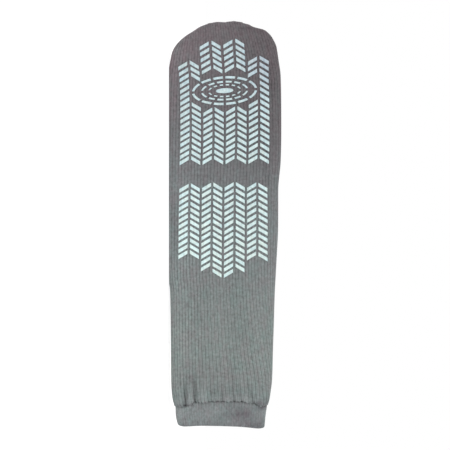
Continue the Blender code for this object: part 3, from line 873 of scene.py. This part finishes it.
# One island of ink: a grid in p across and q along it, from -1 to 1, with soft corners, a domed
# top and sides that sink into the knit.
ISLAND_P = np.array([-1.0, -0.95, -0.80, -0.40, 0.0, 0.40, 0.80, 0.95, 1.0])
ISLAND_Q = np.array([-1.0, -0.86, -0.50, 0.0, 0.50, 0.86, 1.0])
INK_SHRINK = (0.955, 0.93)  # of a bar's width and height
INK_SINK = 0.00036
INK_SHOULDER = 0.62  # height of the edge, as a share of the ink's thickness
INK_DOME = 0.12
INK_WOBBLE = 0.00008
INK_WAVES = (2.3, 3.1)  # of a bar's ragged ends, in radians for half its width
INK_SKEW = 0.012
CORNER_CUT = 0.30


def island_template():
    """The grid's p and q with cut corners, and its height as a share of the ink's thickness."""
    p, q = np.meshgrid(ISLAND_P, ISLAND_Q)
    height = 1 - INK_DOME * (p * p + q * q) / 2
    side, end = np.abs(p) == 1, np.abs(q) == 1
    height[side | end] = INK_SHOULDER
    p[side & end] *= 1 - CORNER_CUT * (1 - ISLAND_P[-2])
    q[side & end] *= 1 - CORNER_CUT * (1 - ISLAND_Q[-2])
    return p, q, height


def bar_place(column, row, block, noise):
    """The island grid of one chevron bar."""
    p, q, _ = island_template()
    along, across = print_place(column, row, block)
    climb = 1 if column % 2 == 0 else -1
    wave, lean, shift, skew = INK_WOBBLE * noise.standard_normal(4)
    rise = climb * p / 2 * BAR_RISE * INK_SHRINK[0]
    ragged = wave * np.cos(INK_WAVES[0] * p) + lean * np.sin(INK_WAVES[1] * p)
    height = BAR_HEIGHT * INK_SHRINK[1] + ragged
    width = BAR_WIDTH * INK_SHRINK[0] * (1 + INK_SKEW * q * skew / INK_WOBBLE)
    return along - rise + q / 2 * height + shift, across + p / 2 * width


def bar_places(runs, block, noise):
    """The island grids of a block's bars."""
    return [
        bar_place(column, row, block, noise)
        for first_row, last_row, first_column, last_column in runs
        for row in range(first_row, last_row + 1)
        for column in range(first_column, last_column + 1)
    ]


def ring_place(ring, angle, grow):
    """A place on a ring of the target, grow outside its centreline."""
    column = MIDDLE_COLUMN + (ring.columns + grow / COLUMN_PITCH) * np.cos(angle)
    row = TARGET_ROW + (ring.rows + grow / FOREFOOT_PITCH) * np.sin(angle)
    return print_place(column, row, FOREFOOT)


def even_ring_angle(ring, share):
    """The angle at which a share of the ring's whole length has been passed."""
    angles = np.linspace(0, TURN, ARC_SAMPLES + 1)
    across, along = ring.columns * COLUMN_PITCH, ring.rows * FOREFOOT_PITCH
    steps = np.hypot(across * np.sin(angles), along * np.cos(angles))
    passed = passed_lengths(steps[:-1] + steps[1:])
    lap = np.floor(share)
    return np.interp((share - lap) * passed[-1], passed, angles) + TURN * lap


def target_places():
    """The island grids of the target under the ball: dashed rings round a solid oval."""
    p, q, _ = island_template()
    places = []
    for ring in TARGET_RINGS:
        for dash in range(RING_DASHES):
            share = (dash + 0.5 + ring.dash * p / 2) / RING_DASHES
            places.append(ring_place(ring, even_ring_angle(ring, share), q / 2 * ring.line))
    column = MIDDLE_COLUMN + TARGET_OVAL.columns * p * np.sqrt(1 - q * q / 2)
    row = TARGET_ROW + TARGET_OVAL.rows * q * np.sqrt(1 - p * p / 2)
    return [*places, print_place(column, row, FOREFOOT)]


def make_print(name, prefix, places, material):
    """One mesh with an island of ink at each place, for the nodes whose names start with prefix."""
    p, _, height = island_template()
    index = np.arange(p.size).reshape(p.shape)
    cells = corners_of(index.T).swapaxes(0, 1).reshape(-1, 4).tolist()
    edge = [*index[0], *index[1:, -1], *index[-1, -2::-1], *index[-2:0:-1, 0]]
    builder = Builder()
    for along, across in places:
        first = builder.add(face_points(along, across, height * PRINT_THICKNESS))
        below = builder.add(face_points(along, across, -INK_SINK).reshape(-1, 3)[edge])
        uv = (np.stack((across, along), -1).reshape(-1, 2) / COURSE).tolist()
        for corners in cells:
            builder.face([first + c for c in corners], [uv[c] for c in corners])
        for j, corner in enumerate(edge):
            n = (j + 1) % len(edge)
            after = edge[n]
            corners = (first + corner, first + after, below + n, below + j)
            builder.face(corners, [uv[c] for c in (corner, after, after, corner)])
        builder.face(range(below, below + len(edge)), [uv[c] for c in edge])
    made = builder.finish(name, material)
    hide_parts(*[n for n in frame["nodes"] if n.startswith(prefix)])
    return made


# The toe seam's ridge and the stitches wound round it.
TOE_SEAM_CUTS = 420
TOE_SEAM_STITCH = 0.0015
TOE_SEAM_PROFILE = 11
TOE_SEAM_WOUND = 0.16  # how much the stitches swell it
TOE_SEAM_SINK = 0.0005
TOE_SEAM_END_POWER = 40
END_SHARE = 0.02  # of a thread's section, squared, at its very ends


def make_toe_seam(material):
    """The overlocked ridge that closes the toe, with its wound stitches."""
    share = np.linspace(-1, 1, TOE_SEAM_CUTS)
    along = toe_seam_along(share)
    low, high = UPPER.at(along)[:2]
    across = (low + high) / 2 + share * TOE_SEAM_REACH * (high - low) / 2
    stitches = passed_lengths(np.hypot(np.diff(along), np.diff(across))) / TOE_SEAM_STITCH
    angle = TURN * np.arange(TOE_SEAM_PROFILE) / TOE_SEAM_PROFILE
    offset = TOE_SEAM_WIDTH / 2 * np.cos(angle)
    wound = 1 + TOE_SEAM_WOUND * np.cos(TURN * (stitches[:, None] + offset / TOE_SEAM_WIDTH))
    ends = np.sqrt(np.clip(1 - np.abs(share) ** TOE_SEAM_END_POWER, END_SHARE, 1.0))[:, None]
    lift = np.maximum(TOE_SEAM_HEIGHT * np.sin(angle) * wound * ends, -TOE_SEAM_SINK)
    builder = Builder()
    builder.thread(face_points(along[:, None] + offset * ends, across[:, None], lift, 1), stitches)
    made = builder.finish("toe_seam_thread", material)
    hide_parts("toe_seam")
    return made


# The stitches in the cuff's seam.
STITCH_COUNT = 84
STITCH_LENGTH = 0.0017
STITCH_RADIUS = 0.00030
STITCH_SINK = 0.0004
STITCH_SIDES = 8
STITCH_CUTS = 7


def make_cuff_stitches(material):
    """Short thread stitches that show in the groove where the leg is sewn to the cuff."""
    ends = np.linspace(-0.5, 0.5, STITCH_CUTS)
    girth = 2 * (SEAM_HIGH - SEAM_LOW)
    turn = (np.arange(STITCH_COUNT)[:, None] + 0.5) / STITCH_COUNT + ends * STITCH_LENGTH / girth
    angles = even_angles(CUFF, [UPPER_LENGTH], turn.reshape(1, -1))[0][0]
    lines = tube(CUFF, UPPER_LENGTH, angles, STITCH_SINK)[0].reshape(*turn.shape, 3)
    radius = STITCH_RADIUS * np.sqrt(np.clip(1 - (2 * ends) ** 4, END_SHARE, 1.0))
    bow = STITCH_RADIUS * np.cos(math.pi * ends)
    sweep = TURN * np.arange(STITCH_SIDES) / STITCH_SIDES
    along_uv = np.arange(STITCH_CUTS) / STITCH_CUTS
    builder = Builder()
    for line in lines:
        middle = line.mean(0)
        outward = unit(np.array([0.0, middle[1] - FOLD_Y, middle[2] - (SEAM_LOW + SEAM_HIGH) / 2]))
        up = np.cross(unit(line[-1] - line[0]), outward)
        section = np.cos(sweep)[:, None] * outward + np.sin(sweep)[:, None] * up
        centre = line + bow[:, None] * outward
        builder.thread(centre[:, None] + radius[:, None, None] * section, along_uv)
    made = builder.finish("cuff_seam_stitches", material)
    return made


class Shading:
    """Short calls for the nodes of one material."""

    def __init__(self, name, **settings):
        self.material = bpy.data.materials.new(name)
        self.material.use_nodes = True
        self.nodes = self.material.node_tree.nodes
        self.shader = self.nodes["Principled BSDF"]
        for socket, value in settings.items():
            self.feed(self.shader.inputs[socket.replace("_", " ")], value)

    def feed(self, socket, value):
        if isinstance(value, bpy.types.NodeSocket):
            self.material.node_tree.links.new(value, socket)
        else:
            socket.default_value = value

    def node(self, kind, inputs, **settings):
        """The outputs of a new node. inputs gives sockets or numbers by the inputs' names or places."""
        made = self.nodes.new("ShaderNode" + kind)
        for name, value in settings.items():
            setattr(made, name, value)
        for key, value in inputs.items():
            self.feed(made.inputs[key], value)
        return made.outputs

    def math(self, operation, *values):
        return self.node("Math", dict(enumerate(values)), operation=operation)[0]

    def add(self, *values):
        return reduce(lambda a, b: self.math("ADD", a, b), values)

    def times(self, *values):
        return reduce(lambda a, b: self.math("MULTIPLY", a, b), values)

    def scaled(self, value, factor, offset=0.0):
        return self.math("MULTIPLY_ADD", value, factor, offset)

    def swing(self, value, spread):
        """A value from 0 to 1, turned into one that swings evenly round 0."""
        return self.scaled(value, spread, -spread / 2)

    def split(self, vector):
        return self.node("SeparateXYZ", {0: vector})[:3]

    def joined(self, x, y, z=0.0):
        return self.node("CombineXYZ", {0: x, 1: y, 2: z})[0]

    def stitch(self):
        """The wale and the course."""
        return self.split(self.node("UVMap", {}, uv_map="stitches")[0])[:2]

    def place(self):
        return self.node("TexCoord", {})["Object"]

    def value(self, name):
        return self.node("Attribute", {}, attribute_name=name)["Fac"]

    def noise(self, vector, scale, detail=2.0):
        return self.node("TexNoise", {"Vector": vector, "Scale": scale, "Detail": detail})["Fac"]

    def stitch_noise(self, stitch, per_wale, per_course, seed=0.0, detail=2.0):
        """Noise over the stitches, drawn out where it has few changes per course."""
        wale, course = stitch
        vector = self.joined(self.scaled(wale, per_wale), self.scaled(course, per_course), seed)
        return self.noise(vector, 1.0, detail)

    def speckle(self, vector):
        return self.node("TexWhiteNoise", {"Vector": vector})["Value"]

    def ramp(self, value, stops):
        made = self.nodes.new("ShaderNodeValToRGB")
        made.color_ramp.interpolation = "B_SPLINE"
        elements = made.color_ramp.elements
        while len(elements) < len(stops):
            elements.new(0.5)
        for element, (position, colour) in zip(elements, stops):
            element.position = position
            element.color = (*colour, 1.0)
        self.feed(made.inputs[0], value)
        return made.outputs[0]

    def mixed(self, share, first, second, mode="MIX"):
        sockets = {0: share, 6: first, 7: second}
        return self.node("Mix", sockets, data_type="RGBA", blend_type=mode, clamp_factor=True)[2]

    def tinted(self, colour, cast):
        return self.mixed(1.0, colour, (*cast, 1.0), "MULTIPLY")

    def eased(self, value, low, high):
        """0 before low and 1 after high, with a soft change between."""
        sockets = {"Value": value, "From Min": low, "From Max": high}
        return self.node("MapRange", sockets, interpolation_type="SMOOTHSTEP")["Result"]

    def finished(self, colour, gain, height, distance):
        """The material, with its colour brightened by gain and with a bump."""
        bright = self.node("VectorMath", {0: colour, "Scale": gain}, operation="SCALE")[0]
        self.feed(self.shader.inputs["Base Color"], bright)
        bump = self.node("Bump", {"Strength": 1.0, "Distance": distance, "Height": height})[0]
        self.feed(self.shader.inputs["Normal"], bump)
        return self.material


def linear(value):
    """An 8-bit screen value as a linear one."""
    share = value / 255
    return share / 12.92 if share <= 0.04045 else ((share + 0.055) / 1.055) ** 2.4


def tones(*rows):
    """Stops of a ramp, from rows of a place and an 8-bit colour."""
    return [(place, [linear(v) for v in colour]) for place, *colour in rows]


# Colours along the upper, the cuff or the print. The toe is darker and warmer.
KNIT_TONES = tones(
    (0.00, 116, 107, 111),
    (0.12, 114, 105, 109),
    (0.30, 109, 105, 108),
    (0.42, 120, 121, 123),
    (0.60, 124, 124, 126),
    (0.76, 131, 136, 135),
    (0.93, 130, 134, 133),
    (1.00, 123, 125, 126),
)
CUFF_TONES = tones(
    (0.00, 120, 121, 122),
    (0.20, 126, 129, 130),
    (0.80, 127, 130, 131),
    (1.00, 116, 118, 120),
)
LINING_TONES = tones((0.00, 112, 112, 113), (1.00, 126, 130, 130))
PRINT_TONES = tones(
    (0.00, 182, 198, 204),
    (0.30, 190, 208, 212),
    (0.60, 201, 219, 220),
    (1.00, 209, 227, 225),
)
THREAD_TONES = tones((0.30, 86, 85, 88), (0.70, 98, 98, 101))

# Ink: the pitch of the ribs that show through it, and what its colour is multiplied by in places.
INK_RIB = 0.0029
WARM_INK = (1.02, 1.01, 0.98)
COOL_INK = (0.94, 1.00, 1.02)
# Painted shade: the ink is darker towards the upper fold near the tip.
SHADED_INK = (0.86, 0.82, 0.88)
SHADED_INK_ENDS = (0.09, 0.03)  # distances from the tip where it starts and where it is full

# Scales of the noise in ink and knit, for each metre.
INK_TINTS = 230.0
INK_PATCHES = 60.0
INK_BLOTS = 330.0
INK_GRAIN = 900.0
INK_PITS = 520.0
INK_RIB_WAVER = 90.0
KNIT_PATCHES = 28.0
KNIT_CASTS = 55.0
KNIT_MOTTLE = 210.0
KNIT_FUZZ = 2600.0
SHADE_PATCH_EDGES = 160.0

# Knit: how much each thing brightens or darkens it.
KNIT_GAIN = 1.10
RELIEF_SHADE = 0.20
BREAK_TONE = 0.76
YARN_TONE = 0.14
PATCH_TONE = 0.16
MOTTLE_TONE = 0.30
FUZZ_TONE = 0.10
# Painted shade in the troughs of folds, gathers and grooves, and painted light on their ridges.
FOLD_SHADE_TONE = 0.26
FOLD_SHADE_FULL = 0.0012  # a fold of this depth has its full tone
# Painted shade on the forefoot's upper side, and painted light along the lower fold.
FOREFOOT_SHADE = 0.20
FOREFOOT_SHADE_ENDS = (0.20, 0.06)  # distances from the tip where it starts and where it is full
FLOOR_SIDE_LIGHT = 0.22
STITCH_SLANT = 1.1
GROOVE_START = 0.30
GREEN_CAST = (0.90, 1.03, 1.00)
PURPLE_CAST = (1.07, 0.97, 1.00)
CAST_STEEPNESS = 5.5
UPPER_KNIT = {"groove": 0.22, "streak": 0.28, "bump": 0.0005}
CUFF_KNIT = {"groove": 0.10, "streak": 0.42, "bump": 0.0003}

# Painted shade: darker places near the cuff's seam, where the leg and the cuff meet, and one on
# the toe's upper side, in rows of along from the seam, across, length, width and depth, in metres
# but for the depth.
CUFF_SHADE_PATCHES = (
    (0.0085, 0.0690, 0.0085, 0.0100, 0.80),
    (0.0050, 0.0560, 0.0080, 0.0110, 0.35),
    (0.0190, 0.0780, 0.0060, 0.0090, 0.45),
    (0.0110, 0.0300, 0.0070, 0.0080, 0.20),
    (0.0010, 0.0840, 0.0025, 0.0060, 0.80),
)
LEG_SHADE_PATCHES = (
    (-0.0030, 0.0830, 0.0040, 0.0080, 0.80),
    (-0.0010, 0.0500, 0.0016, 0.0300, 0.55),
    (-0.0010, 0.0130, 0.0030, 0.0070, 0.60),
    (-0.0250, 0.0190, 0.0200, 0.0040, 0.25),
    (-0.0200, 0.0580, 0.0150, 0.0050, 0.20),
    (-0.3250, 0.0880, 0.0350, 0.0130, 0.20),
)
SHADE_PATCH_TONE = (0.62, 0.55, 0.59)


def painted_shade_patches(s, tone, place, shade_patches):
    """Soft, slightly purple, ragged patches of painted shade."""
    x, _, z = s.split(place)
    ragged = s.scaled(s.noise(place, SHADE_PATCH_EDGES, 3.0), 1.6, 0.2)
    for along, across, length, width, depth in shade_patches:
        ahead = s.scaled(x, 1 / length, -(SEAM_X + along) / length)
        beside = s.scaled(z, 1 / width, -across / width)
        distance = s.add(s.times(ahead, ahead), s.times(beside, beside))
        share = s.times(s.math("EXPONENT", s.scaled(distance, -1.0)), ragged, depth)
        tone = s.mixed(share, tone, s.tinted(tone, SHADE_PATCH_TONE))
    return tone


def side_shade(s, place):
    """Painted shade and light: the knit of the forefoot is a little darker towards its upper fold,
    and all of it is a little lighter at the lower one."""
    x, _, z = s.split(place)
    forefoot = s.scaled(s.eased(x, *(TOE_X + end for end in FOREFOOT_SHADE_ENDS)), FOREFOOT_SHADE)
    shade = s.math("SUBTRACT", 1.0, s.times(forefoot, s.eased(z, 0.2 * FOOT_WIDTH, 0.9 * FOOT_WIDTH)))
    return shade, s.scaled(s.eased(z, 0.35 * FOOT_WIDTH, 0.0), FLOOR_SIDE_LIGHT, 1.0)


def knit_material(name, stops, length, shade_patches, groove, streak, bump):
    """Ribbed knit: a raised wale with two slanted legs, a groove with painted shade, painted light on
    the legs, heathered yarn and soft colour patches. groove and streak say how strongly those show."""
    s = Shading(name, Roughness=0.92, Sheen_Weight=0.10, Sheen_Roughness=0.5, Specular_IOR_Level=0.25)
    wale, course = stitch = s.stitch()
    place = s.place()
    off = s.math("ABSOLUTE", s.swing(s.math("FRACT", wale), 1.0))
    leg = s.math("MAXIMUM", s.math("SUBTRACT", 1.0, s.math("POWER", s.scaled(off, 4.6, -1.0), 2.0)), 0.0)
    deep = s.eased(off, GROOVE_START, 0.5)
    slant = s.scaled(off, STITCH_SLANT, course)
    loop = s.scaled(s.math("COSINE", s.scaled(slant, TURN)), 0.5, 0.5)
    relief = s.add(s.times(leg, s.scaled(loop, 0.5, 0.5)), s.times(deep, s.scaled(loop, 0.25)))
    yarn = s.speckle(s.joined(s.math("FLOOR", s.scaled(wale, 2.0)), s.math("FLOOR", slant)))
    streaks = s.stitch_noise(stitch, 0.9, 0.09, seed=3.0, detail=3.0)
    breaks = s.stitch_noise(stitch, 1.1, 0.45, seed=5.0)
    hues = s.stitch_noise(stitch, 0.8, 0.03, seed=9.0)
    patches = s.noise(place, KNIT_PATCHES, 3.0)
    mottle = s.noise(place, KNIT_MOTTLE)
    fuzz = s.noise(place, KNIT_FUZZ)
    low = s.eased(s.split(place)[2], 0.5 * FOOT_WIDTH, 0.1 * FOOT_WIDTH)
    casts = s.add(s.scaled(s.noise(place, KNIT_CASTS), 0.35), s.scaled(mottle, 0.35), s.scaled(hues, 0.30))
    tone = s.ramp(s.scaled(course, COURSE / length), stops)
    tone = s.mixed(s.scaled(casts, CAST_STEEPNESS, -2.4), tone, s.tinted(tone, GREEN_CAST))
    tone = s.mixed(s.scaled(casts, -CAST_STEEPNESS, 2.45), tone, s.tinted(tone, PURPLE_CAST))
    # Painted shade in troughs and painted light on ridges, from the heights kept on the mesh.
    creases = s.scaled(s.value("crease"), 1 / FOLD_SHADE_FULL)
    creases = s.math("MINIMUM", s.math("MAXIMUM", creases, -1.0), 1.0)
    # Painted shade in the grooves, stronger towards the lower fold, and painted light on the raised legs.
    groove_shade = s.scaled(deep, -groove, 0.16 * groove)
    gain = s.add(
        1.0,
        s.times(groove_shade, s.scaled(patches, 1.6, 0.2), s.scaled(low, 0.40, 0.96)),
        s.swing(relief, RELIEF_SHADE),
        s.swing(streaks, streak),
        s.swing(breaks, BREAK_TONE),
        s.swing(yarn, YARN_TONE),
        s.swing(patches, PATCH_TONE),
        s.swing(mottle, MOTTLE_TONE),
        s.swing(fuzz, FUZZ_TONE),
        s.scaled(creases, FOLD_SHADE_TONE),
    )
    gain = s.scaled(s.times(gain, *side_shade(s, place)), KNIT_GAIN)
    return s.finished(painted_shade_patches(s, tone, place, shade_patches), gain, s.add(relief, s.scaled(fuzz, 0.35)), bump)


def terry_material(name, length):
    """The inside: short looped pile."""
    s = Shading(name, Roughness=0.95, Sheen_Weight=0.2, Specular_IOR_Level=0.2)
    stitch = s.stitch()
    loops = s.stitch_noise(stitch, 1.6, 1.2)
    fuzz = s.noise(s.place(), 1800.0)
    tone = s.ramp(s.scaled(stitch[1], COURSE / length), LINING_TONES)
    gain = s.add(s.scaled(loops, 0.7, 0.62), s.swing(fuzz, 0.12))
    return s.finished(tone, gain, s.add(loops, s.scaled(fuzz, 0.2)), 0.0012)


def thread_material():
    """Dark yarn, twisted round its middle."""
    s = Shading("seam_thread", Roughness=0.85, Sheen_Weight=0.1, Specular_IOR_Level=0.3)
    twist = s.scaled(s.math("SINE", s.scaled(s.add(*s.stitch()), TURN)), 0.5, 0.5)
    fuzz = s.noise(s.place(), 2200.0)
    gain = s.add(s.scaled(twist, 0.35, 0.75), s.swing(fuzz, 0.3))
    return s.finished(s.ramp(fuzz, THREAD_TONES), gain, s.add(twist, fuzz), 0.0003)


def print_material():
    """Pale aqua silicone ink with the ribs of the knit showing through it."""
    s = Shading("grip_print", Specular_IOR_Level=0.45, Coat_Weight=0.08, Coat_Roughness=0.35)
    place = s.place()
    x, _, z = s.split(place)
    share = s.scaled(x, 1 / FOOT_LENGTH, -TOE_X / FOOT_LENGTH)
    tone = s.ramp(share, PRINT_TONES)
    tints = s.scaled(s.noise(place, INK_TINTS), 4.0, -1.5)
    tone = s.mixed(tints, s.tinted(tone, WARM_INK), s.tinted(tone, COOL_INK))
    # Painted light: the ink is lighter towards the lower fold, more so towards the heel.
    painted_low_light = s.times(s.eased(z, 0.75 * FOOT_WIDTH, 0.1 * FOOT_WIDTH), share)
    high_side = s.eased(z, 0.55 * FOOT_WIDTH, 0.85 * FOOT_WIDTH)
    # Painted shade: darker towards the upper fold near the tip, like the knit there.
    upper_shade_share = s.times(high_side, s.eased(x, *(TOE_X + end for end in SHADED_INK_ENDS)))
    tone = s.mixed(upper_shade_share, tone, s.tinted(tone, SHADED_INK))
    grain = s.noise(place, INK_GRAIN, 3.0)
    wavy = s.scaled(s.noise(place, INK_RIB_WAVER, 1.0), 0.8)
    ribs = s.math("SINE", s.add(s.scaled(z, TURN / INK_RIB), wavy))
    pits = s.eased(s.noise(place, INK_PITS), 0.58, 0.74)
    gain = s.add(
        s.scaled(s.noise(place, INK_PATCHES, 3.0), 0.18, 0.91),
        s.scaled(painted_low_light, 0.16, -0.02),
        s.swing(s.noise(place, INK_BLOTS), 0.60),
        s.swing(grain, 0.16),
        s.scaled(ribs, 0.035),
        s.scaled(pits, -0.07),
    )
    s.feed(s.shader.inputs["Roughness"], s.scaled(grain, 0.25, 0.38))
    return s.finished(tone, gain, s.add(s.scaled(ribs, 0.5), grain, s.scaled(pits, -0.5)), 0.00020)


# The white stage. The floor is lit from below, as for a cut-out photograph.
WHITE = (1.0, 1.0, 1.0, 1.0)
FLOOR_SIZE = 16.0
FLOOR_GLOW = 0.50
FLOOR_STOPS = ((0.0, (0.54, 0.54, 0.54)), (1.0, (0.57, 0.57, 0.57)))
LENS = 400.0
SENSOR = 36.0
CLIP = (0.01, 60.0)
FRAME_SPAN = 0.4081  # what 450 pixels of the photograph cover at the sock
AIM = Vector((-0.00045, FOLD_Y, 0.0507))
SOFTBOXES = (("key", (-0.90, -1.20, 0.50), 0.8, 3.2), ("back", (0.10, 1.20, 1.30), 1.0, 4.0))
LIT_PLACE = Vector((0.0, 0.0, 0.04))
SUN_STRENGTH = 0.12
SUN_ANGLE = 60
SUN_TILT = 25
SKY_STRENGTH = 1.0


def add_camera():
    """Looks along +Y at the sole, level and above the floor, rolled so that the toe is at the top."""
    data = bpy.data.cameras.new("camera")
    data.lens, data.sensor_width = LENS, SENSOR
    data.clip_start, data.clip_end = CLIP
    camera = linked("camera", data)
    eye = AIM - Vector((0.0, FRAME_SPAN * LENS / SENSOR, 0.0))
    camera.matrix_world = Matrix(((0, -1, 0, eye.x), (0, 0, -1, eye.y), (1, 0, 0, eye.z), (0, 0, 0, 1)))
    bpy.context.scene.camera = camera


def add_floor():
    half = FLOOR_SIZE / 2
    mesh = bpy.data.meshes.new("floor")
    corners = [(x * half, y * half, 0) for x, y in ((-1, -1), (1, -1), (1, 1), (-1, 1))]
    mesh.from_pydata(corners, [], [(0, 1, 2, 3)])
    s = Shading(
        "floor", Roughness=0.9, Specular_IOR_Level=0.1, Emission_Color=WHITE, Emission_Strength=FLOOR_GLOW
    )
    s.feed(s.shader.inputs["Base Color"], s.ramp(s.noise(s.place(), 0.8, 1.0), FLOOR_STOPS))
    mesh.materials.append(s.material)
    linked("floor", mesh)


def add_lights():
    for name, place, size, energy in SOFTBOXES:
        data = bpy.data.lights.new(name, "AREA")
        data.size, data.energy = size, energy
        lamp = linked(name, data)
        lamp.location = place
        lamp.rotation_mode = "QUATERNION"
        lamp.rotation_quaternion = (LIT_PLACE - Vector(place)).to_track_quat("-Z", "Y")
    data = bpy.data.lights.new("sky", "SUN")
    data.energy, data.angle = SUN_STRENGTH, math.radians(SUN_ANGLE)
    linked("sky", data).rotation_euler = (math.radians(SUN_TILT), 0.0, 0.0)
    world = bpy.data.worlds.new("white")
    bpy.context.scene.world = world
    world.use_nodes = True
    background = world.node_tree.nodes["Background"].inputs
    background["Color"].default_value = WHITE
    background["Strength"].default_value = SKY_STRENGTH


def main():
    add_camera()
    add_floor()
    add_lights()
    noise = np.random.default_rng(SEED)
    thread, ink = thread_material(), print_material()
    pieces = [
        make_upper(
            knit_material("knit", KNIT_TONES, UPPER_LENGTH, LEG_SHADE_PATCHES, **UPPER_KNIT),
            terry_material("lining", UPPER_LENGTH),
        ),
        make_cuff(
            knit_material("cuff_knit", CUFF_TONES, CUFF_HEIGHT, CUFF_SHADE_PATCHES, **CUFF_KNIT),
            terry_material("cuff_lining", CUFF_HEIGHT),
        ),
        make_toe_seam(thread),
        make_cuff_stitches(thread),
        make_print("grip_forefoot", "tread_forefoot_row", bar_places(FOREFOOT_RUNS, FOREFOOT, noise), ink),
        make_print("grip_heel", "tread_heel_row", bar_places(HEEL_RUNS, HEEL, noise), ink),
        make_print("grip_target", "tread_target", target_places(), ink),
    ]
    for piece in pieces:
        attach(piece, BODY)


bpy.context.scene.view_settings.view_transform = "Standard"
main()
